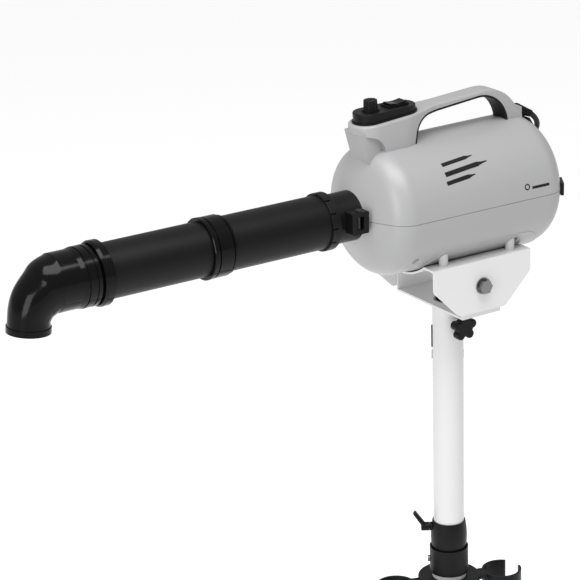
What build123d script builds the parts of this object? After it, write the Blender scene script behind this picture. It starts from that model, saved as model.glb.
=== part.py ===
from build123d import *
import os
from math import cos, pi, radians, sin, tan

os.makedirs("parts", exist_ok=True)

# Stand dryer: a canister blower with a carrying handle, tilting in a two-piece bracket on a
# telescopic pole with a wheeled five-leg base, and a long outlet tube that ends in an elbow.
# Frame: millimetres, +Z up, origin on the floor under the pole, outlet towards -X.

# ---------------------------------------------------------------- driving dimensions
AXIS_HEIGHT = 1150.0  # floor to the blower's own axis
FIT = 0.05  # radial running clearance
GAP = 0.4  # clearance between faces that pass each other

# blower case
CASE_WALL = 3.0
CASE_R_FRONT = 93.0
CASE_R_REAR = 95.0
CASE_FRONT_X = -166.0
CASE_FRONT_CORNER_X = -138.0
CASE_REAR_CORNER_X = 129.0
CASE_REAR_X = 151.0
CASE_ROUND = 34.0
INLET_R = 60.0
SEAM_DEPTH = 0.9
SEAM_WIDTH = 0.8
PLINTH_PROUD = 1.0
PLINTH_FRONT_X = -84.0
PLINTH_REAR_X = 114.0
PLINTH_HALF_WIDTH = 79.0
PLINTH_CORNER_R = 34.0
CASE_SCREW_X = (-107.0, 64.0)
CASE_SCREW_Y = 71.0
CASE_BOSS_R = 7.0
CASE_SCREW_R = 2.0
CASE_SCREW_HEAD_R = 4.0
CASE_SCREW_HEAD_Z = -52.0
CASE_SCREW_HEAD = 2.5
CASE_SCREW_LENGTH = 67.6

# handle and control platform, moulded with the upper shell
PLATFORM_FRONT_X = -160.0
PLATFORM_Z = 126.0
PLATFORM_RIM = 11.0
PLATFORM_HALF_WIDTH = 28.5
PLATFORM_NECK_X = -84.0
PANEL_SLOPE = 4.5
GRIP_START_X = -30.0
GRIP_HALF_WIDTH = 15.0
GRIP_TOP_Z = (136.5, 145.0)
GRIP_TOP_X = (-40.0, 85.0)
GRIP_REAR_ROUND = 62.0
GRIP_PLAN_BLEND = 60.0
FOLD_ROUND = 50.0
FOLD_LENGTH = 12.0
GRIP_EDGE_ROUND = 3.0
SKIRT_FRONT_X = -124.0
SKIRT_ARCH_Z = 90.0
SKIRT_ARCH_RUN = 24.0
SKIRT_ARCH_BULGE = (7.0, 14.0)
STEM_FRONT_LEAN = 14.0
STEM_DEPTH = 20.0
STEM_CORE_HALF_WIDTH = 21.0
LINER = 3.0
HAND_GAP_FRONT_X = -69.0
HAND_GAP_REAR_X = 93.0
HAND_GAP_TOP_Z = 127.0
HAND_GAP_RISE = 5.0
HAND_GAP_LEAN = 0.17
HAND_GAP_DROP = 3.0
HAND_GAP_FRONT_ROUND = 27.0
HAND_GAP_REAR_ROUND = 46.0
LEAD_BLOCK_FRONT_X = 100.0
LEAD_BLOCK_REAR_X = 122.0
LEAD_BLOCK_TOP_Z = 111.0
LEAD_BLOCK_HALF_WIDTH = 13.0
LEAD_BLOCK_CHAMFER = 7.0

# control box, dial and rocker
PANEL_FRONT_X = -153.5
PANEL_LENGTH = 96.0
PANEL_HALF_WIDTH = 21.0
PANEL_HEIGHT = 15.0
PANEL_TAPER = 3.0
PANEL_WALL = 2.5
PANEL_ROOM = 7.0
PANEL_FLANGE = 2.0
PANEL_EDGE = 1.5
DIAL_X = 26.0
DIAL_R = 10.0
DIAL_HEIGHT = 15.0
DIAL_FLANGE_R = 12.5
DIAL_FLUTES = 12
DIAL_FLUTE_R = 1.6
DIAL_FLANGE = 2.0
DIAL_EDGE = 0.6
DIAL_POINTER = (15.0, 1.6)
SPINDLE_R = 3.0
SPINDLE_LENGTH = 6.0
ROCKER_X = 66.0
ROCKER_HALF_LENGTH = 13.5
ROCKER_HALF_WIDTH = 8.0
ROCKER_CREST = 5.5
ROCKER_DIP = 3.5
ROCKER_PIN_R = 1.5
BEZEL_MARGIN = 1.5
BEZEL_EDGE = 2.2
BEZEL_HEIGHT = 3.0

# outlet tubes
TUBE_R = 37.5
TUBE_WALL = 1.9
COLLAR_R = 35.0
COLLAR_BORE_R = 31.0
COLLAR_FLANGE_R = 40.0
COLLAR_LIP_R = 40.5
COLLAR_LIP_X = -206.0
COLLAR_END_X = -220.0
COLLAR_SLOTS = 12
COLLAR_SLOT = (4.0, 2.4, 8.0)
EAR_FRONT_X = -195.0
EAR_REAR_X = -168.0
EAR_OUT_Y = 49.0
EAR_TOP_Z = 19.0
EAR_BOTTOM_Z = -12.0
EAR_CHANNEL = 11.0
EAR_LAND = 6.0
EAR_EDGE = 2.0
EAR_FLOOR = 3.0
EAR_SCREW_R = 3.0
EAR_SCREW_HEAD = (4.8, 3.0)
COUPLING_REAR_X = -372.0
COUPLING_FRONT_X = -406.5
COUPLING_R = 42.0
COUPLING_STOP = 2.0
SOCKET_REAR_X = -555.0
SOCKET_FRONT_X = -570.0
SOCKET_R = 44.0

# elbow
ELBOW_SHOULDER_X = -574.0
ELBOW_BEND_X = -626.0
ELBOW_BEND_Z = -50.0
ELBOW_BAND_R = 41.0
ELBOW_R = 39.5
ELBOW_WALL = 2.5
ELBOW_SPIGOT = 22.0
ELBOW_STEPS = 5
ELBOW_NARROWING = 1.7
ELBOW_END_R = 28.0
ELBOW_INSIDE = (10.5, 8.0)
OUTLET_LEAN = 5.5
OUTLET_NECK = 3.0
OUTLET_RING_R = 29.5
OUTLET_RING = 8.0

# saddle under the blower
SHEET = 3.0
SADDLE_HALF_LENGTH = 84.0
SADDLE_TROUGH_R = 96.5
SADDLE_FLANGE_Z = -77.0
CHEEK_SIDE_Z = -109.0
CHEEK_BOTTOM_Z = -153.0
CHEEK_BOTTOM_HALF = 40.0
CHEEK_CORNER_R = 11.0
POST_R = 6.5
POST_X = 58.0
POST_Y = 68.5
POST_TOP_Z = -57.0
POST_SCREW_R = 2.0
POST_SCREW_HEAD_R = 4.0
POST_SCREW_HEAD = 2.2
POST_SCREW_DEPTH = 6.0
POST_EDGE = 2.0
PIVOT_Z = -115.0
PIVOT_BOLT_R = 6.0
PIVOT_FLATS = 18.0
PIVOT_HEAD = 7.5
PIVOT_WASHER_R = 12.0
PIVOT_WASHER = 2.0
PIVOT_NUT = 6.5
PIVOT_SEAT = 0.05

# bracket on the pole
BRACKET_HALF_WIDTH = 79.0
BRACKET_HALF_LENGTH = 33.0
BRACKET_BOTTOM_Z = -160.4
SPIGOT_WALL = 3.0
SPIGOT_LENGTH = 70.0

# upper pole, lower pole and clamp
MAST_R = 22.5
MAST_WALL = 1.8
MAST_BOTTOM_Z = -850.0
KNOB_Z = -190.0
KNOB_LOBES = 5
KNOB_LOBE_R = 6.5
KNOB_REACH = 13.0
KNOB_THICK = 13.0
KNOB_FACE_Y = 31.0
KNOB_STUD_R = 4.0
KNOB_BOSS_R = 8.5
KNOB_BOSS_Y = 27.0
KNOB_EDGES = (2.0, 1.0)
POLE_R = 25.0
POLE_TOP_Z = -551.0
SLEEVE_TOP_Z = -503.0
SLEEVE_MID_Z = -525.0
SLEEVE_R = 26.7
SLEEVE_END_R = 24.3
LEVER_Z = -514.0
LEVER_ANGLE = 146.0
LEVER_HUB_R = 6.5
LEVER_HUB = (29.0, 41.0)
LEVER_ARM = 27.0
LEVER_ARM_LEAN = 55.0
LEVER_STUD_R = 3.0
LEVER_ROOT = (10.0, 7.0)
LEVER_TIP = (12.0, 5.0)
LEVER_EDGE = 1.5
CLAMP_COLLAR_R = 28.5
CLAMP_COLLAR_TOP_Z = -545.0
CLAMP_COLLAR_BOTTOM_Z = -585.0
COLLAR_SCREW_Z = -566.0
COLLAR_SCREW_R = 2.5
COLLAR_SCREW_HEAD = (4.5, 3.0)
HOLDER_TOP_Z = -593.0
HOLDER_DISC_R = 46.0
HOLDER_DISC = 7.0
HOLDER_EDGE = 2.0
HOLDER_RING_R = 29.5
HOLDER_RING_WALL = 3.5
HOLDER_RING = 28.0
HOLDER_REACH = 83.0
HOLDER_ANGLES = (-17.5, 162.5)
HOLDER_MOUTH = 26.0
HOLDER_MOUTH_TURN = 32.0
HOLDER_ARM_WIDTH = 22.0

# wheeled base
LEG_COUNT = 5
LEG_FIRST_ANGLE = 20.0
LEG_REACH = 290.0
LEG_BOTTOM_Z = 65.0
LEG_ROOT = (40.0, 42.0)
LEG_TIP = (24.0, 24.0)
LEG_WALL = 3.0
LEG_BOLT_BOSS = (9.0, 24.0)
LEG_BOSS_R = 15.0
LEG_BOLT_REACH = 55.0
LEG_BOLT_R = 3.0
LEG_BOLT_HEAD_R = 5.5
LEG_BOLT_HEAD = 4.0
LEG_BOLT_LENGTH = 23.0
HUB_R = 44.0
HUB_FLANGE_R = 64.0
HUB_FLANGE = 5.0
HUB_SHOULDER = 8.0
HUB_BOLT_DEPTH = 42.5
HUB_TOP_Z = 125.0
HUB_PLUG_TOP_Z = 96.0
POLE_BOLT_R = 4.0
POLE_BOLT_HEAD_R = 8.0
POLE_BOLT_HEAD = 5.5
POLE_BOLT_LENGTH = 24.0
CASTER_STEM_R = 5.5
CASTER_STEM = 21.0
CASTER_NECK_R = 9.0
CASTER_TRAIL = 16.0
FORK_WALL = 3.0
FORK_PLATE_Z = (53.0, 58.0)
FORK_HALF_LENGTH = 9.0
WHEEL_R = 25.0
WHEEL_HALF_WIDTH = 9.0
WHEEL_SIDE_GAP = 1.0
WHEEL_EDGE = 3.0
WHEEL_DISH = (17.0, 8.5, 3.0)
AXLE_R = 4.0

# inside the case
MOTOR_R = 50.0
MOTOR_X = (-22.0, 82.0)
MOTOR_MOUNT_X = (20.0, 26.0)
MOTOR_MOUNT_VENTS = 8
MOTOR_VENT_R = 12.0
MOTOR_EDGE = 5.0
SHAFT_R = 5.0
IMPELLER_X = (92.0, 112.0)
IMPELLER_R = 74.0
IMPELLER_HUB_R = 16.0
IMPELLER_BLADES = 9
IMPELLER_DISC = 2.0
BLADE = 2.5
BLADE_TURN = 24.0
HEATER_X = (-122.0, -52.0)
HEATER_R = 58.0
HEATER_COILS = 4
HEATER_COIL_R = 44.0
HEATER_WIRE_R = 2.2
HEATER_FIRST_COIL = 0.7
MICA = 2.0
FILTER = 4.0
IONISER_BOX = (24.0, 14.0, 12.0)
IONISER_GAP = 8.0
NEEDLE_R = 1.0
NEEDLE = 8.0

# rear cover
COVER_LIP = 5.0
COVER_WALL = 3.0
COVER_SLOTS = 16
COVER_SLOT_WIDTH = 4.0
TAB_HALF_WIDTH = 9.0
TAB_LIFT = 0.3
TAB_THICK = 5.0

# mains lead
LEAD_R = 4.0
GLAND_NECK_R = 5.5
GLAND_NECK = 10.0
GLAND_START_R = 7.0
GLAND_END_R = 5.0
GLAND_COLLAR = 3.0
GLAND_CONE_START = 4.0
GLAND_LENGTH = 28.0
GLAND_DROP = 24.0
GLAND_Z = 102.0
CLIP_Z = -242.0
CLIP_LENGTH = 13.3
CLIP_REACH = 52.0
CLIP_BAND = 2.0
CLIP_ARM = 6.0
CLIP_SADDLE = 8.0
CLIP_EYE = (29.2, 43.2)
CLIP_EYE_ROOM = 1.0
CLIP_EYE_WALL = 1.6
HOOK_Z = -214.0
HOOK_STRIP = (34.0, 7.0, 1.5)
HOOK_SLOT = (14.0, 2.6)
HOOK_HOLE_R = 1.6
HOOK_HOLE_DROP = 11.0
HOOK_SLOT_RISE = 5.0
LEAD_ANGLE = 56.0
COIL_INNER_R = 36.0
COIL_OUTER_R = 52.0
COIL_HEIGHT = 24.0
COIL_CENTRE = (66.0, 184.0)
PLUG_R = 18.0
PLUG_BODY = 34.0
PLUG_RELIEF = 26.0
PLUG_PIN_R = 2.4
PLUG_PIN = 19.0
PLUG_PIN_SPREAD = 19.0
PLUG_EDGE = 3.0
PLUG_RELIEF_R = (5.0, 9.0)
COIL_TURNS = 6

# ---------------------------------------------------------------- shared places
blower_axis = Axis((0, 0, AXIS_HEIGHT), (1, 0, 0))
case_side = Plane(origin=(0, 0, AXIS_HEIGHT), x_dir=(1, 0, 0), z_dir=(0, -1, 0))
case_plan = Plane(origin=(0, 0, AXIS_HEIGHT))
pole_bore_r = MAST_R + FIT
spigot_r = MAST_R - MAST_WALL - FIT
saddle_inner_y = BRACKET_HALF_WIDTH + GAP
saddle_outer_y = saddle_inner_y + SHEET
outlet_hole_r = COLLAR_R + FIT


def save(builder, label):
    """Label a finished sub-part and write it as its own STEP file."""
    builder.part.label = label
    export_step(builder.part, f"parts/{label}.step")


def level(z):
    """Height above the floor of a height measured from the blower's axis."""
    return AXIS_HEIGHT + z


def across_case(x):
    """Plane across the blower's axis at x: its own x is +Y and its own y is +Z."""
    return Plane(origin=(x, 0, AXIS_HEIGHT), x_dir=(0, 1, 0), z_dir=(1, 0, 0))


def facing_front(y, z):
    """Upright plane at y that looks towards -Y: its own x is +X and its own y is +Z."""
    return Plane(origin=(0, y, z), x_dir=(1, 0, 0), z_dir=(0, -1, 0))


def radial(angle, reach, z):
    """Plane across a radius of the pole, looking outwards, at a height above the floor."""
    out = (cos(radians(angle)), sin(radians(angle)))
    place = (out[0] * reach, out[1] * reach, z)
    return Plane(origin=place, x_dir=(-out[1], out[0], 0), z_dir=(out[0], out[1], 0))


def closed_outline(plane, points):
    """Face inside a closed run of straight lines on a plane."""
    with BuildSketch(plane) as outline:
        with BuildLine():
            Polyline(*points, close=True)
        make_face()
    return outline.sketch


def case_outline(plane, inset):
    """Whole lengthwise outline of the case, drawn in by inset."""
    corners = [
        (CASE_FRONT_X, outlet_hole_r),
        (CASE_FRONT_CORNER_X, CASE_R_FRONT),
        (CASE_REAR_CORNER_X, CASE_R_REAR),
        (CASE_REAR_X, INLET_R),
    ]
    mirrored = [(x, -r) for x, r in reversed(corners)]
    with BuildSketch(plane) as outline:
        with BuildLine():
            Polyline(*corners, *mirrored, close=True)
        make_face()
        shoulders = outline.vertices().filter_by(lambda corner: abs(corner.Y) > CASE_R_FRONT - 1)
        fillet(shoulders, CASE_ROUND)
        if inset:
            offset(amount=-inset, mode=Mode.REPLACE)
    return outline.sketch


def case_half(inset):
    """Half of the lengthwise outline, above the axis, ready to turn about it."""
    with BuildSketch(case_side) as half:
        add(case_outline(Plane.XY, inset))
        with Locations((0, CASE_R_REAR)):
            Rectangle(4 * CASE_R_REAR, 2 * CASE_R_REAR, mode=Mode.INTERSECT)
    return half.sketch


def turned(points):
    """Profile of x and radius, ready to turn about the blower's axis."""
    return closed_outline(case_side, points)


def pole_profile(points):
    """Profile of radius and height above the floor, ready to turn about the pole."""
    return closed_outline(Plane.XZ, points)


def hand_gap_outline(grow):
    """Side outline of the gap under the grip, grown by the liner's thickness."""
    rise = tan(radians(HAND_GAP_RISE))
    low = HAND_GAP_TOP_Z / 2
    front_lean = HAND_GAP_LEAN * (HAND_GAP_TOP_Z - low)
    front_top = HAND_GAP_TOP_Z - HAND_GAP_DROP
    corners = [
        (HAND_GAP_FRONT_X - front_lean / 2, low),
        (HAND_GAP_FRONT_X + front_lean / 2, front_top),
        (HAND_GAP_REAR_X, front_top + rise * (HAND_GAP_REAR_X - HAND_GAP_FRONT_X)),
        (HAND_GAP_REAR_X, low),
    ]
    with BuildSketch(facing_front(2 * PLATFORM_HALF_WIDTH, AXIS_HEIGHT)) as outline:
        with BuildLine():
            arch = FilletPolyline(*corners, radius=[HAND_GAP_FRONT_ROUND, HAND_GAP_REAR_ROUND])
            Line(arch @ 1, arch @ 0)
        make_face()
        if grow:
            offset(amount=grow, mode=Mode.REPLACE)
    return outline.sketch


def grip_plan():
    """Plan outline of the control platform and the grip behind it."""
    corners = [
        (PLATFORM_FRONT_X, PLATFORM_HALF_WIDTH),
        (PLATFORM_NECK_X, PLATFORM_HALF_WIDTH),
        (GRIP_START_X, GRIP_HALF_WIDTH),
        (LEAD_BLOCK_REAR_X, GRIP_HALF_WIDTH),
    ]
    mirrored = [(x, -y) for x, y in reversed(corners)]
    with BuildSketch(case_plan) as plan:
        with BuildLine():
            Polyline(*corners, *mirrored, close=True)
        make_face()
        by_x = plan.vertices().group_by(Axis.X)
        fillet(by_x[0], PLATFORM_HALF_WIDTH - 1)
        necks = plan.vertices().filter_by(lambda v: abs(v.X - PLATFORM_NECK_X) < 1)
        fillet(necks, GRIP_PLAN_BLEND)
        starts = plan.vertices().filter_by(lambda v: abs(v.X - GRIP_START_X) < 1)
        fillet(starts, GRIP_PLAN_BLEND)
    return plan.sketch


# ---------------------------------------------------------------- case forms
with BuildPart() as case_form:
    revolve(case_half(0), axis=blower_axis)

with BuildPart() as case_room:
    revolve(case_half(CASE_WALL), axis=blower_axis)

with BuildPart() as plinth_form:
    revolve(case_half(-PLINTH_PROUD), axis=blower_axis)
    with BuildSketch(case_plan.offset(-CASE_R_REAR / 4)):
        with Locations(((PLINTH_FRONT_X + PLINTH_REAR_X) / 2, 0)):
            RectangleRounded(PLINTH_REAR_X - PLINTH_FRONT_X, 2 * PLINTH_HALF_WIDTH, PLINTH_CORNER_R)
    extrude(amount=-CASE_R_REAR, mode=Mode.INTERSECT)

with BuildPart() as seam_form:
    with BuildSketch(case_plan):
        add(case_outline(Plane.XY, -1))
        add(case_outline(Plane.XY, SEAM_DEPTH), mode=Mode.SUBTRACT)
    extrude(amount=SEAM_WIDTH / 2, both=True)

screw_places = [(x, side * CASE_SCREW_Y) for x in CASE_SCREW_X for side in (-1, 1)]

with BuildPart() as boss_form:
    with BuildSketch(case_plan):
        with Locations(*screw_places):
            Circle(CASE_BOSS_R)
    extrude(amount=CASE_R_REAR, both=True)
    add(case_form.part, mode=Mode.INTERSECT)

# Lower half of the case, with the plinth that the saddle carries.
with BuildPart() as lower_shell:
    add(case_form.part)
    add(plinth_form.part)
    add(case_room.part, mode=Mode.SUBTRACT)
    add(boss_form.part)
    add(seam_form.part, mode=Mode.SUBTRACT)
    with BuildSketch(across_case(CASE_FRONT_X)):
        Circle(outlet_hole_r)
    extrude(amount=2 * CASE_WALL, both=True, mode=Mode.SUBTRACT)
    with BuildSketch(across_case(CASE_REAR_X)):
        Circle(INLET_R - FIT)
    extrude(amount=2 * CASE_WALL, both=True, mode=Mode.SUBTRACT)
    with BuildSketch(case_plan.offset(CASE_SCREW_HEAD_Z)):
        with Locations(*screw_places):
            Circle(CASE_SCREW_HEAD_R + GAP)
    extrude(amount=-CASE_R_REAR / 2, mode=Mode.SUBTRACT)
    with BuildSketch(case_plan):
        with Locations(*screw_places):
            Circle(CASE_SCREW_R + FIT)
    extrude(amount=-CASE_R_REAR, mode=Mode.SUBTRACT)
    split(bisect_by=case_plan, keep=Keep.BOTTOM)
save(lower_shell, "lower_shell")

# Side outline of the handle: platform at the front, grip, and a root that runs into the case.
platform_rise = tan(radians(PANEL_SLOPE))
platform_rear_x = GRIP_TOP_X[0] - FOLD_LENGTH
platform_rear_z = PLATFORM_Z + platform_rise * (platform_rear_x - PLATFORM_FRONT_X)
handle_low = PLATFORM_Z / 2
rim_z = PLATFORM_Z - PLATFORM_RIM
with BuildPart() as handle_form:
    with BuildSketch(case_side) as handle_side:
        with BuildLine():
            skirt = Polyline(
                (SKIRT_FRONT_X, handle_low),
                (SKIRT_FRONT_X, SKIRT_ARCH_Z),
            )
            arch = ThreePointArc(
                skirt @ 1,
                (SKIRT_FRONT_X - SKIRT_ARCH_BULGE[0], SKIRT_ARCH_Z + SKIRT_ARCH_BULGE[1]),
                (SKIRT_FRONT_X - SKIRT_ARCH_RUN, rim_z - GRIP_EDGE_ROUND),
            )
            Polyline(
                arch @ 1,
                (PLATFORM_FRONT_X, rim_z),
                (PLATFORM_FRONT_X, PLATFORM_Z),
                (platform_rear_x, platform_rear_z),
                (GRIP_TOP_X[0], GRIP_TOP_Z[0]),
                (GRIP_TOP_X[1], GRIP_TOP_Z[1]),
                (LEAD_BLOCK_REAR_X - 1, LEAD_BLOCK_TOP_Z - FOLD_LENGTH),
                (LEAD_BLOCK_REAR_X - 1, handle_low),
                skirt @ 0,
            )
        make_face()
        crest = handle_side.vertices().sort_by(Axis.Y)[-1]
        fillet(crest, GRIP_REAR_ROUND)
        folds = handle_side.vertices().filter_by(
            lambda v: platform_rear_x - 1 < v.X < GRIP_TOP_X[0] + 1 and v.Y > rim_z
        )
        fillet(folds, FOLD_ROUND)
    extrude(amount=2 * PLATFORM_HALF_WIDTH, both=True)
    with BuildSketch(case_plan):
        add(grip_plan())
    extrude(amount=2 * PLATFORM_Z, mode=Mode.INTERSECT)
    outer_edges = handle_form.edges().filter_by(
        lambda e: e.center().Z > level(PLATFORM_Z - 2) and abs(e.center().Y) > 1
    )
    fillet(outer_edges, GRIP_EDGE_ROUND)

# Upper half of the case, moulded in one piece with the platform, the grip and the lead's block.
with BuildPart() as upper_shell:
    add(handle_form.part)
    with BuildSketch(case_side):
        with BuildLine():
            Polyline(
                (PLATFORM_FRONT_X + PANEL_FLANGE, rim_z),
                (PLATFORM_FRONT_X + PANEL_FLANGE + STEM_FRONT_LEAN, handle_low),
                (SKIRT_FRONT_X + STEM_DEPTH, handle_low),
                (SKIRT_FRONT_X + STEM_DEPTH, rim_z + PANEL_FLANGE),
                (PLATFORM_FRONT_X + PANEL_FLANGE, rim_z + PANEL_FLANGE),
                close=True,
            )
        make_face()
    extrude(amount=STEM_CORE_HALF_WIDTH, both=True)
    extrude(hand_gap_outline(LINER), amount=4 * PLATFORM_HALF_WIDTH, mode=Mode.SUBTRACT)
    with BuildSketch(case_side):
        with BuildLine():
            Polyline(
                (LEAD_BLOCK_FRONT_X, handle_low),
                (LEAD_BLOCK_FRONT_X, LEAD_BLOCK_TOP_Z),
                (LEAD_BLOCK_REAR_X - LEAD_BLOCK_CHAMFER, LEAD_BLOCK_TOP_Z),
                (LEAD_BLOCK_REAR_X, LEAD_BLOCK_TOP_Z - LEAD_BLOCK_CHAMFER / 2),
                (LEAD_BLOCK_REAR_X, handle_low),
                close=True,
            )
        make_face()
    extrude(amount=LEAD_BLOCK_HALF_WIDTH, both=True)
    add(case_form.part)
    add(case_room.part, mode=Mode.SUBTRACT)
    add(boss_form.part)
    add(seam_form.part, mode=Mode.SUBTRACT)
    with BuildSketch(across_case(CASE_FRONT_X)):
        Circle(outlet_hole_r)
    extrude(amount=2 * CASE_WALL, both=True, mode=Mode.SUBTRACT)
    with BuildSketch(across_case(CASE_REAR_X)):
        Circle(INLET_R - FIT)
    extrude(amount=2 * CASE_WALL, both=True, mode=Mode.SUBTRACT)
    with BuildSketch(case_plan):
        with Locations(*screw_places):
            Circle(CASE_SCREW_R + FIT)
    extrude(amount=-CASE_SCREW_HEAD_Z / 2, mode=Mode.SUBTRACT)
    with BuildSketch(across_case(LEAD_BLOCK_REAR_X)):
        with Locations((0, GLAND_Z)):
            Circle(GLAND_NECK_R + FIT)
    extrude(amount=-GLAND_NECK, mode=Mode.SUBTRACT)
    split(bisect_by=case_plan, keep=Keep.TOP)
save(upper_shell, "upper_shell")

# Soft black liner along the inside of the grip.
with BuildPart() as grip_liner:
    extrude(hand_gap_outline(LINER), amount=4 * PLATFORM_HALF_WIDTH)
    extrude(hand_gap_outline(0), amount=4 * PLATFORM_HALF_WIDTH, mode=Mode.SUBTRACT)
    with BuildSketch(case_plan):
        add(grip_plan())
    extrude(amount=2 * PLATFORM_Z, mode=Mode.INTERSECT)
    add(case_form.part, mode=Mode.SUBTRACT)
save(grip_liner, "grip_liner")

# Four screws that hold the halves of the case together, from below.
with BuildPart() as case_screws:
    with BuildSketch(case_plan.offset(CASE_SCREW_HEAD_Z)):
        with Locations(*screw_places):
            Circle(CASE_SCREW_HEAD_R)
    extrude(amount=-CASE_SCREW_HEAD)
    with BuildSketch(case_plan.offset(CASE_SCREW_HEAD_Z)):
        with Locations(*screw_places):
            Circle(CASE_SCREW_R)
    extrude(amount=CASE_SCREW_LENGTH)
save(case_screws, "case_screws")

# ---------------------------------------------------------------- control panel
slope = radians(PANEL_SLOPE)
panel_base = Plane(
    origin=(PANEL_FRONT_X, 0, level(PLATFORM_Z + platform_rise * (PANEL_FRONT_X - PLATFORM_FRONT_X))),
    x_dir=(cos(slope), 0, sin(slope)),
    z_dir=(-sin(slope), 0, cos(slope)),
)
top_slope = radians(PANEL_SLOPE - PANEL_TAPER)
panel_front_top = panel_base.from_local_coords(Vector(0, 0, PANEL_HEIGHT))
panel_top = Plane(
    origin=panel_front_top,
    x_dir=(cos(top_slope), 0, sin(top_slope)),
    z_dir=(-sin(top_slope), 0, cos(top_slope)),
)


def on_panel(along):
    """Plane of the panel's top, with its origin at a distance from its front."""
    place = panel_top.from_local_coords(Vector(along, 0, 0))
    return Plane(origin=place, x_dir=panel_top.x_dir, z_dir=panel_top.z_dir)


rocker_plane = on_panel(ROCKER_X)
dial_plane = on_panel(DIAL_X)
rocker_side = Plane(origin=rocker_plane.origin, x_dir=panel_top.x_dir, z_dir=(0, -1, 0))
bezel_room = (2 * (ROCKER_HALF_LENGTH + BEZEL_MARGIN), 2 * (ROCKER_HALF_WIDTH + GAP))

# Control box: a stadium-shaped cover, tapering to the rear, open underneath.
with BuildPart() as control_box:
    with BuildSketch(panel_base):
        with Locations((PANEL_LENGTH / 2, 0)):
            SlotOverall(PANEL_LENGTH, 2 * PANEL_HALF_WIDTH)
    extrude(amount=PANEL_HEIGHT + 10)
    split(bisect_by=panel_top, keep=Keep.BOTTOM)
    top_rim = control_box.faces().sort_by(Axis.Z)[-1].edges()
    fillet(top_rim, PANEL_EDGE)
    with BuildSketch(panel_base):
        with Locations((PANEL_LENGTH / 2, 0)):
            SlotOverall(PANEL_LENGTH + 2 * PANEL_FLANGE, 2 * PANEL_HALF_WIDTH + 2 * PANEL_FLANGE)
    extrude(amount=PANEL_FLANGE)
    with BuildSketch(rocker_plane):
        RectangleRounded(bezel_room[0] + 2 * BEZEL_EDGE, bezel_room[1] + 2 * BEZEL_EDGE, BEZEL_EDGE)
    extrude(amount=BEZEL_HEIGHT)
    with BuildSketch(rocker_plane.offset(BEZEL_HEIGHT)):
        Rectangle(*bezel_room)
    extrude(amount=-PANEL_HEIGHT, mode=Mode.SUBTRACT)
    with BuildSketch(rocker_side):
        Circle(ROCKER_PIN_R + FIT)
    extrude(amount=bezel_room[1] / 2 + BEZEL_EDGE - PANEL_EDGE / 2, both=True, mode=Mode.SUBTRACT)
    with BuildSketch(dial_plane):
        Circle(SPINDLE_R + FIT)
    extrude(amount=-PANEL_HEIGHT, mode=Mode.SUBTRACT)
    with BuildSketch(panel_base):
        with Locations((PANEL_LENGTH / 2, 0)):
            SlotOverall(PANEL_LENGTH - 2 * PANEL_WALL, 2 * PANEL_HALF_WIDTH - 2 * PANEL_WALL)
    extrude(amount=PANEL_ROOM, mode=Mode.SUBTRACT)
save(control_box, "control_box")

# Rocker switch key on its two pins.
with BuildPart() as power_rocker:
    with BuildSketch(rocker_side):
        with BuildLine():
            Polyline(
                (-ROCKER_HALF_LENGTH, -1),
                (-ROCKER_HALF_LENGTH, ROCKER_CREST),
                (0, ROCKER_DIP),
                (ROCKER_HALF_LENGTH, ROCKER_CREST),
                (ROCKER_HALF_LENGTH, -1),
                (ROCKER_HALF_LENGTH / 3, -ROCKER_DIP),
                (-ROCKER_HALF_LENGTH / 3, -ROCKER_DIP),
                close=True,
            )
        make_face()
    extrude(amount=ROCKER_HALF_WIDTH, both=True)
    with BuildSketch(rocker_side):
        Circle(ROCKER_PIN_R)
    extrude(amount=bezel_room[1] / 2 + 1, both=True)
save(power_rocker, "power_rocker")

# Speed dial: fluted grip on a flange, with a spindle that turns in the box.
with BuildPart() as speed_dial:
    with BuildSketch(dial_plane.offset(GAP)):
        Circle(DIAL_FLANGE_R)
    extrude(amount=DIAL_FLANGE)
    with BuildSketch(dial_plane.offset(GAP)):
        Circle(DIAL_R)
        with PolarLocations(DIAL_R + DIAL_EDGE, DIAL_FLUTES):
            Circle(DIAL_FLUTE_R, mode=Mode.SUBTRACT)
    extrude(amount=DIAL_HEIGHT, taper=2)
    chamfer(speed_dial.faces().sort_by(Axis.Z)[-1].edges(), DIAL_EDGE)
    with BuildSketch(dial_plane.offset(DIAL_HEIGHT)):
        Rectangle(*DIAL_POINTER)
    extrude(amount=GAP + DIAL_EDGE)
    with BuildSketch(dial_plane.offset(GAP)):
        Circle(SPINDLE_R)
    extrude(amount=-SPINDLE_LENGTH)
save(speed_dial, "speed_dial")

# ---------------------------------------------------------------- inside the case
# Motor with the bearing bore that the impeller's shaft runs in.
with BuildPart() as motor:
    with BuildSketch(across_case(MOTOR_X[0])):
        Circle(MOTOR_R)
    extrude(amount=MOTOR_X[1] - MOTOR_X[0])
    chamfer(motor.edges().filter_by(GeomType.CIRCLE), MOTOR_EDGE)
    with BuildSketch(across_case(MOTOR_X[1])):
        Circle(SHAFT_R + FIT)
    extrude(amount=-(MOTOR_X[1] - MOTOR_X[0]) / 2, mode=Mode.SUBTRACT)
save(motor, "motor")

# Vented plate that holds the motor in the middle of the case.
with BuildPart() as motor_mount:
    with BuildSketch(across_case(MOTOR_MOUNT_X[0])):
        Circle(CASE_R_FRONT)
        Circle(MOTOR_R, mode=Mode.SUBTRACT)
        with PolarLocations((MOTOR_R + CASE_R_FRONT - CASE_WALL) / 2, MOTOR_MOUNT_VENTS, start_angle=22.5):
            Circle(MOTOR_VENT_R, mode=Mode.SUBTRACT)
    extrude(amount=MOTOR_MOUNT_X[1] - MOTOR_MOUNT_X[0])
    add(case_room.part, mode=Mode.INTERSECT)
save(motor_mount, "motor_mount")

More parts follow.
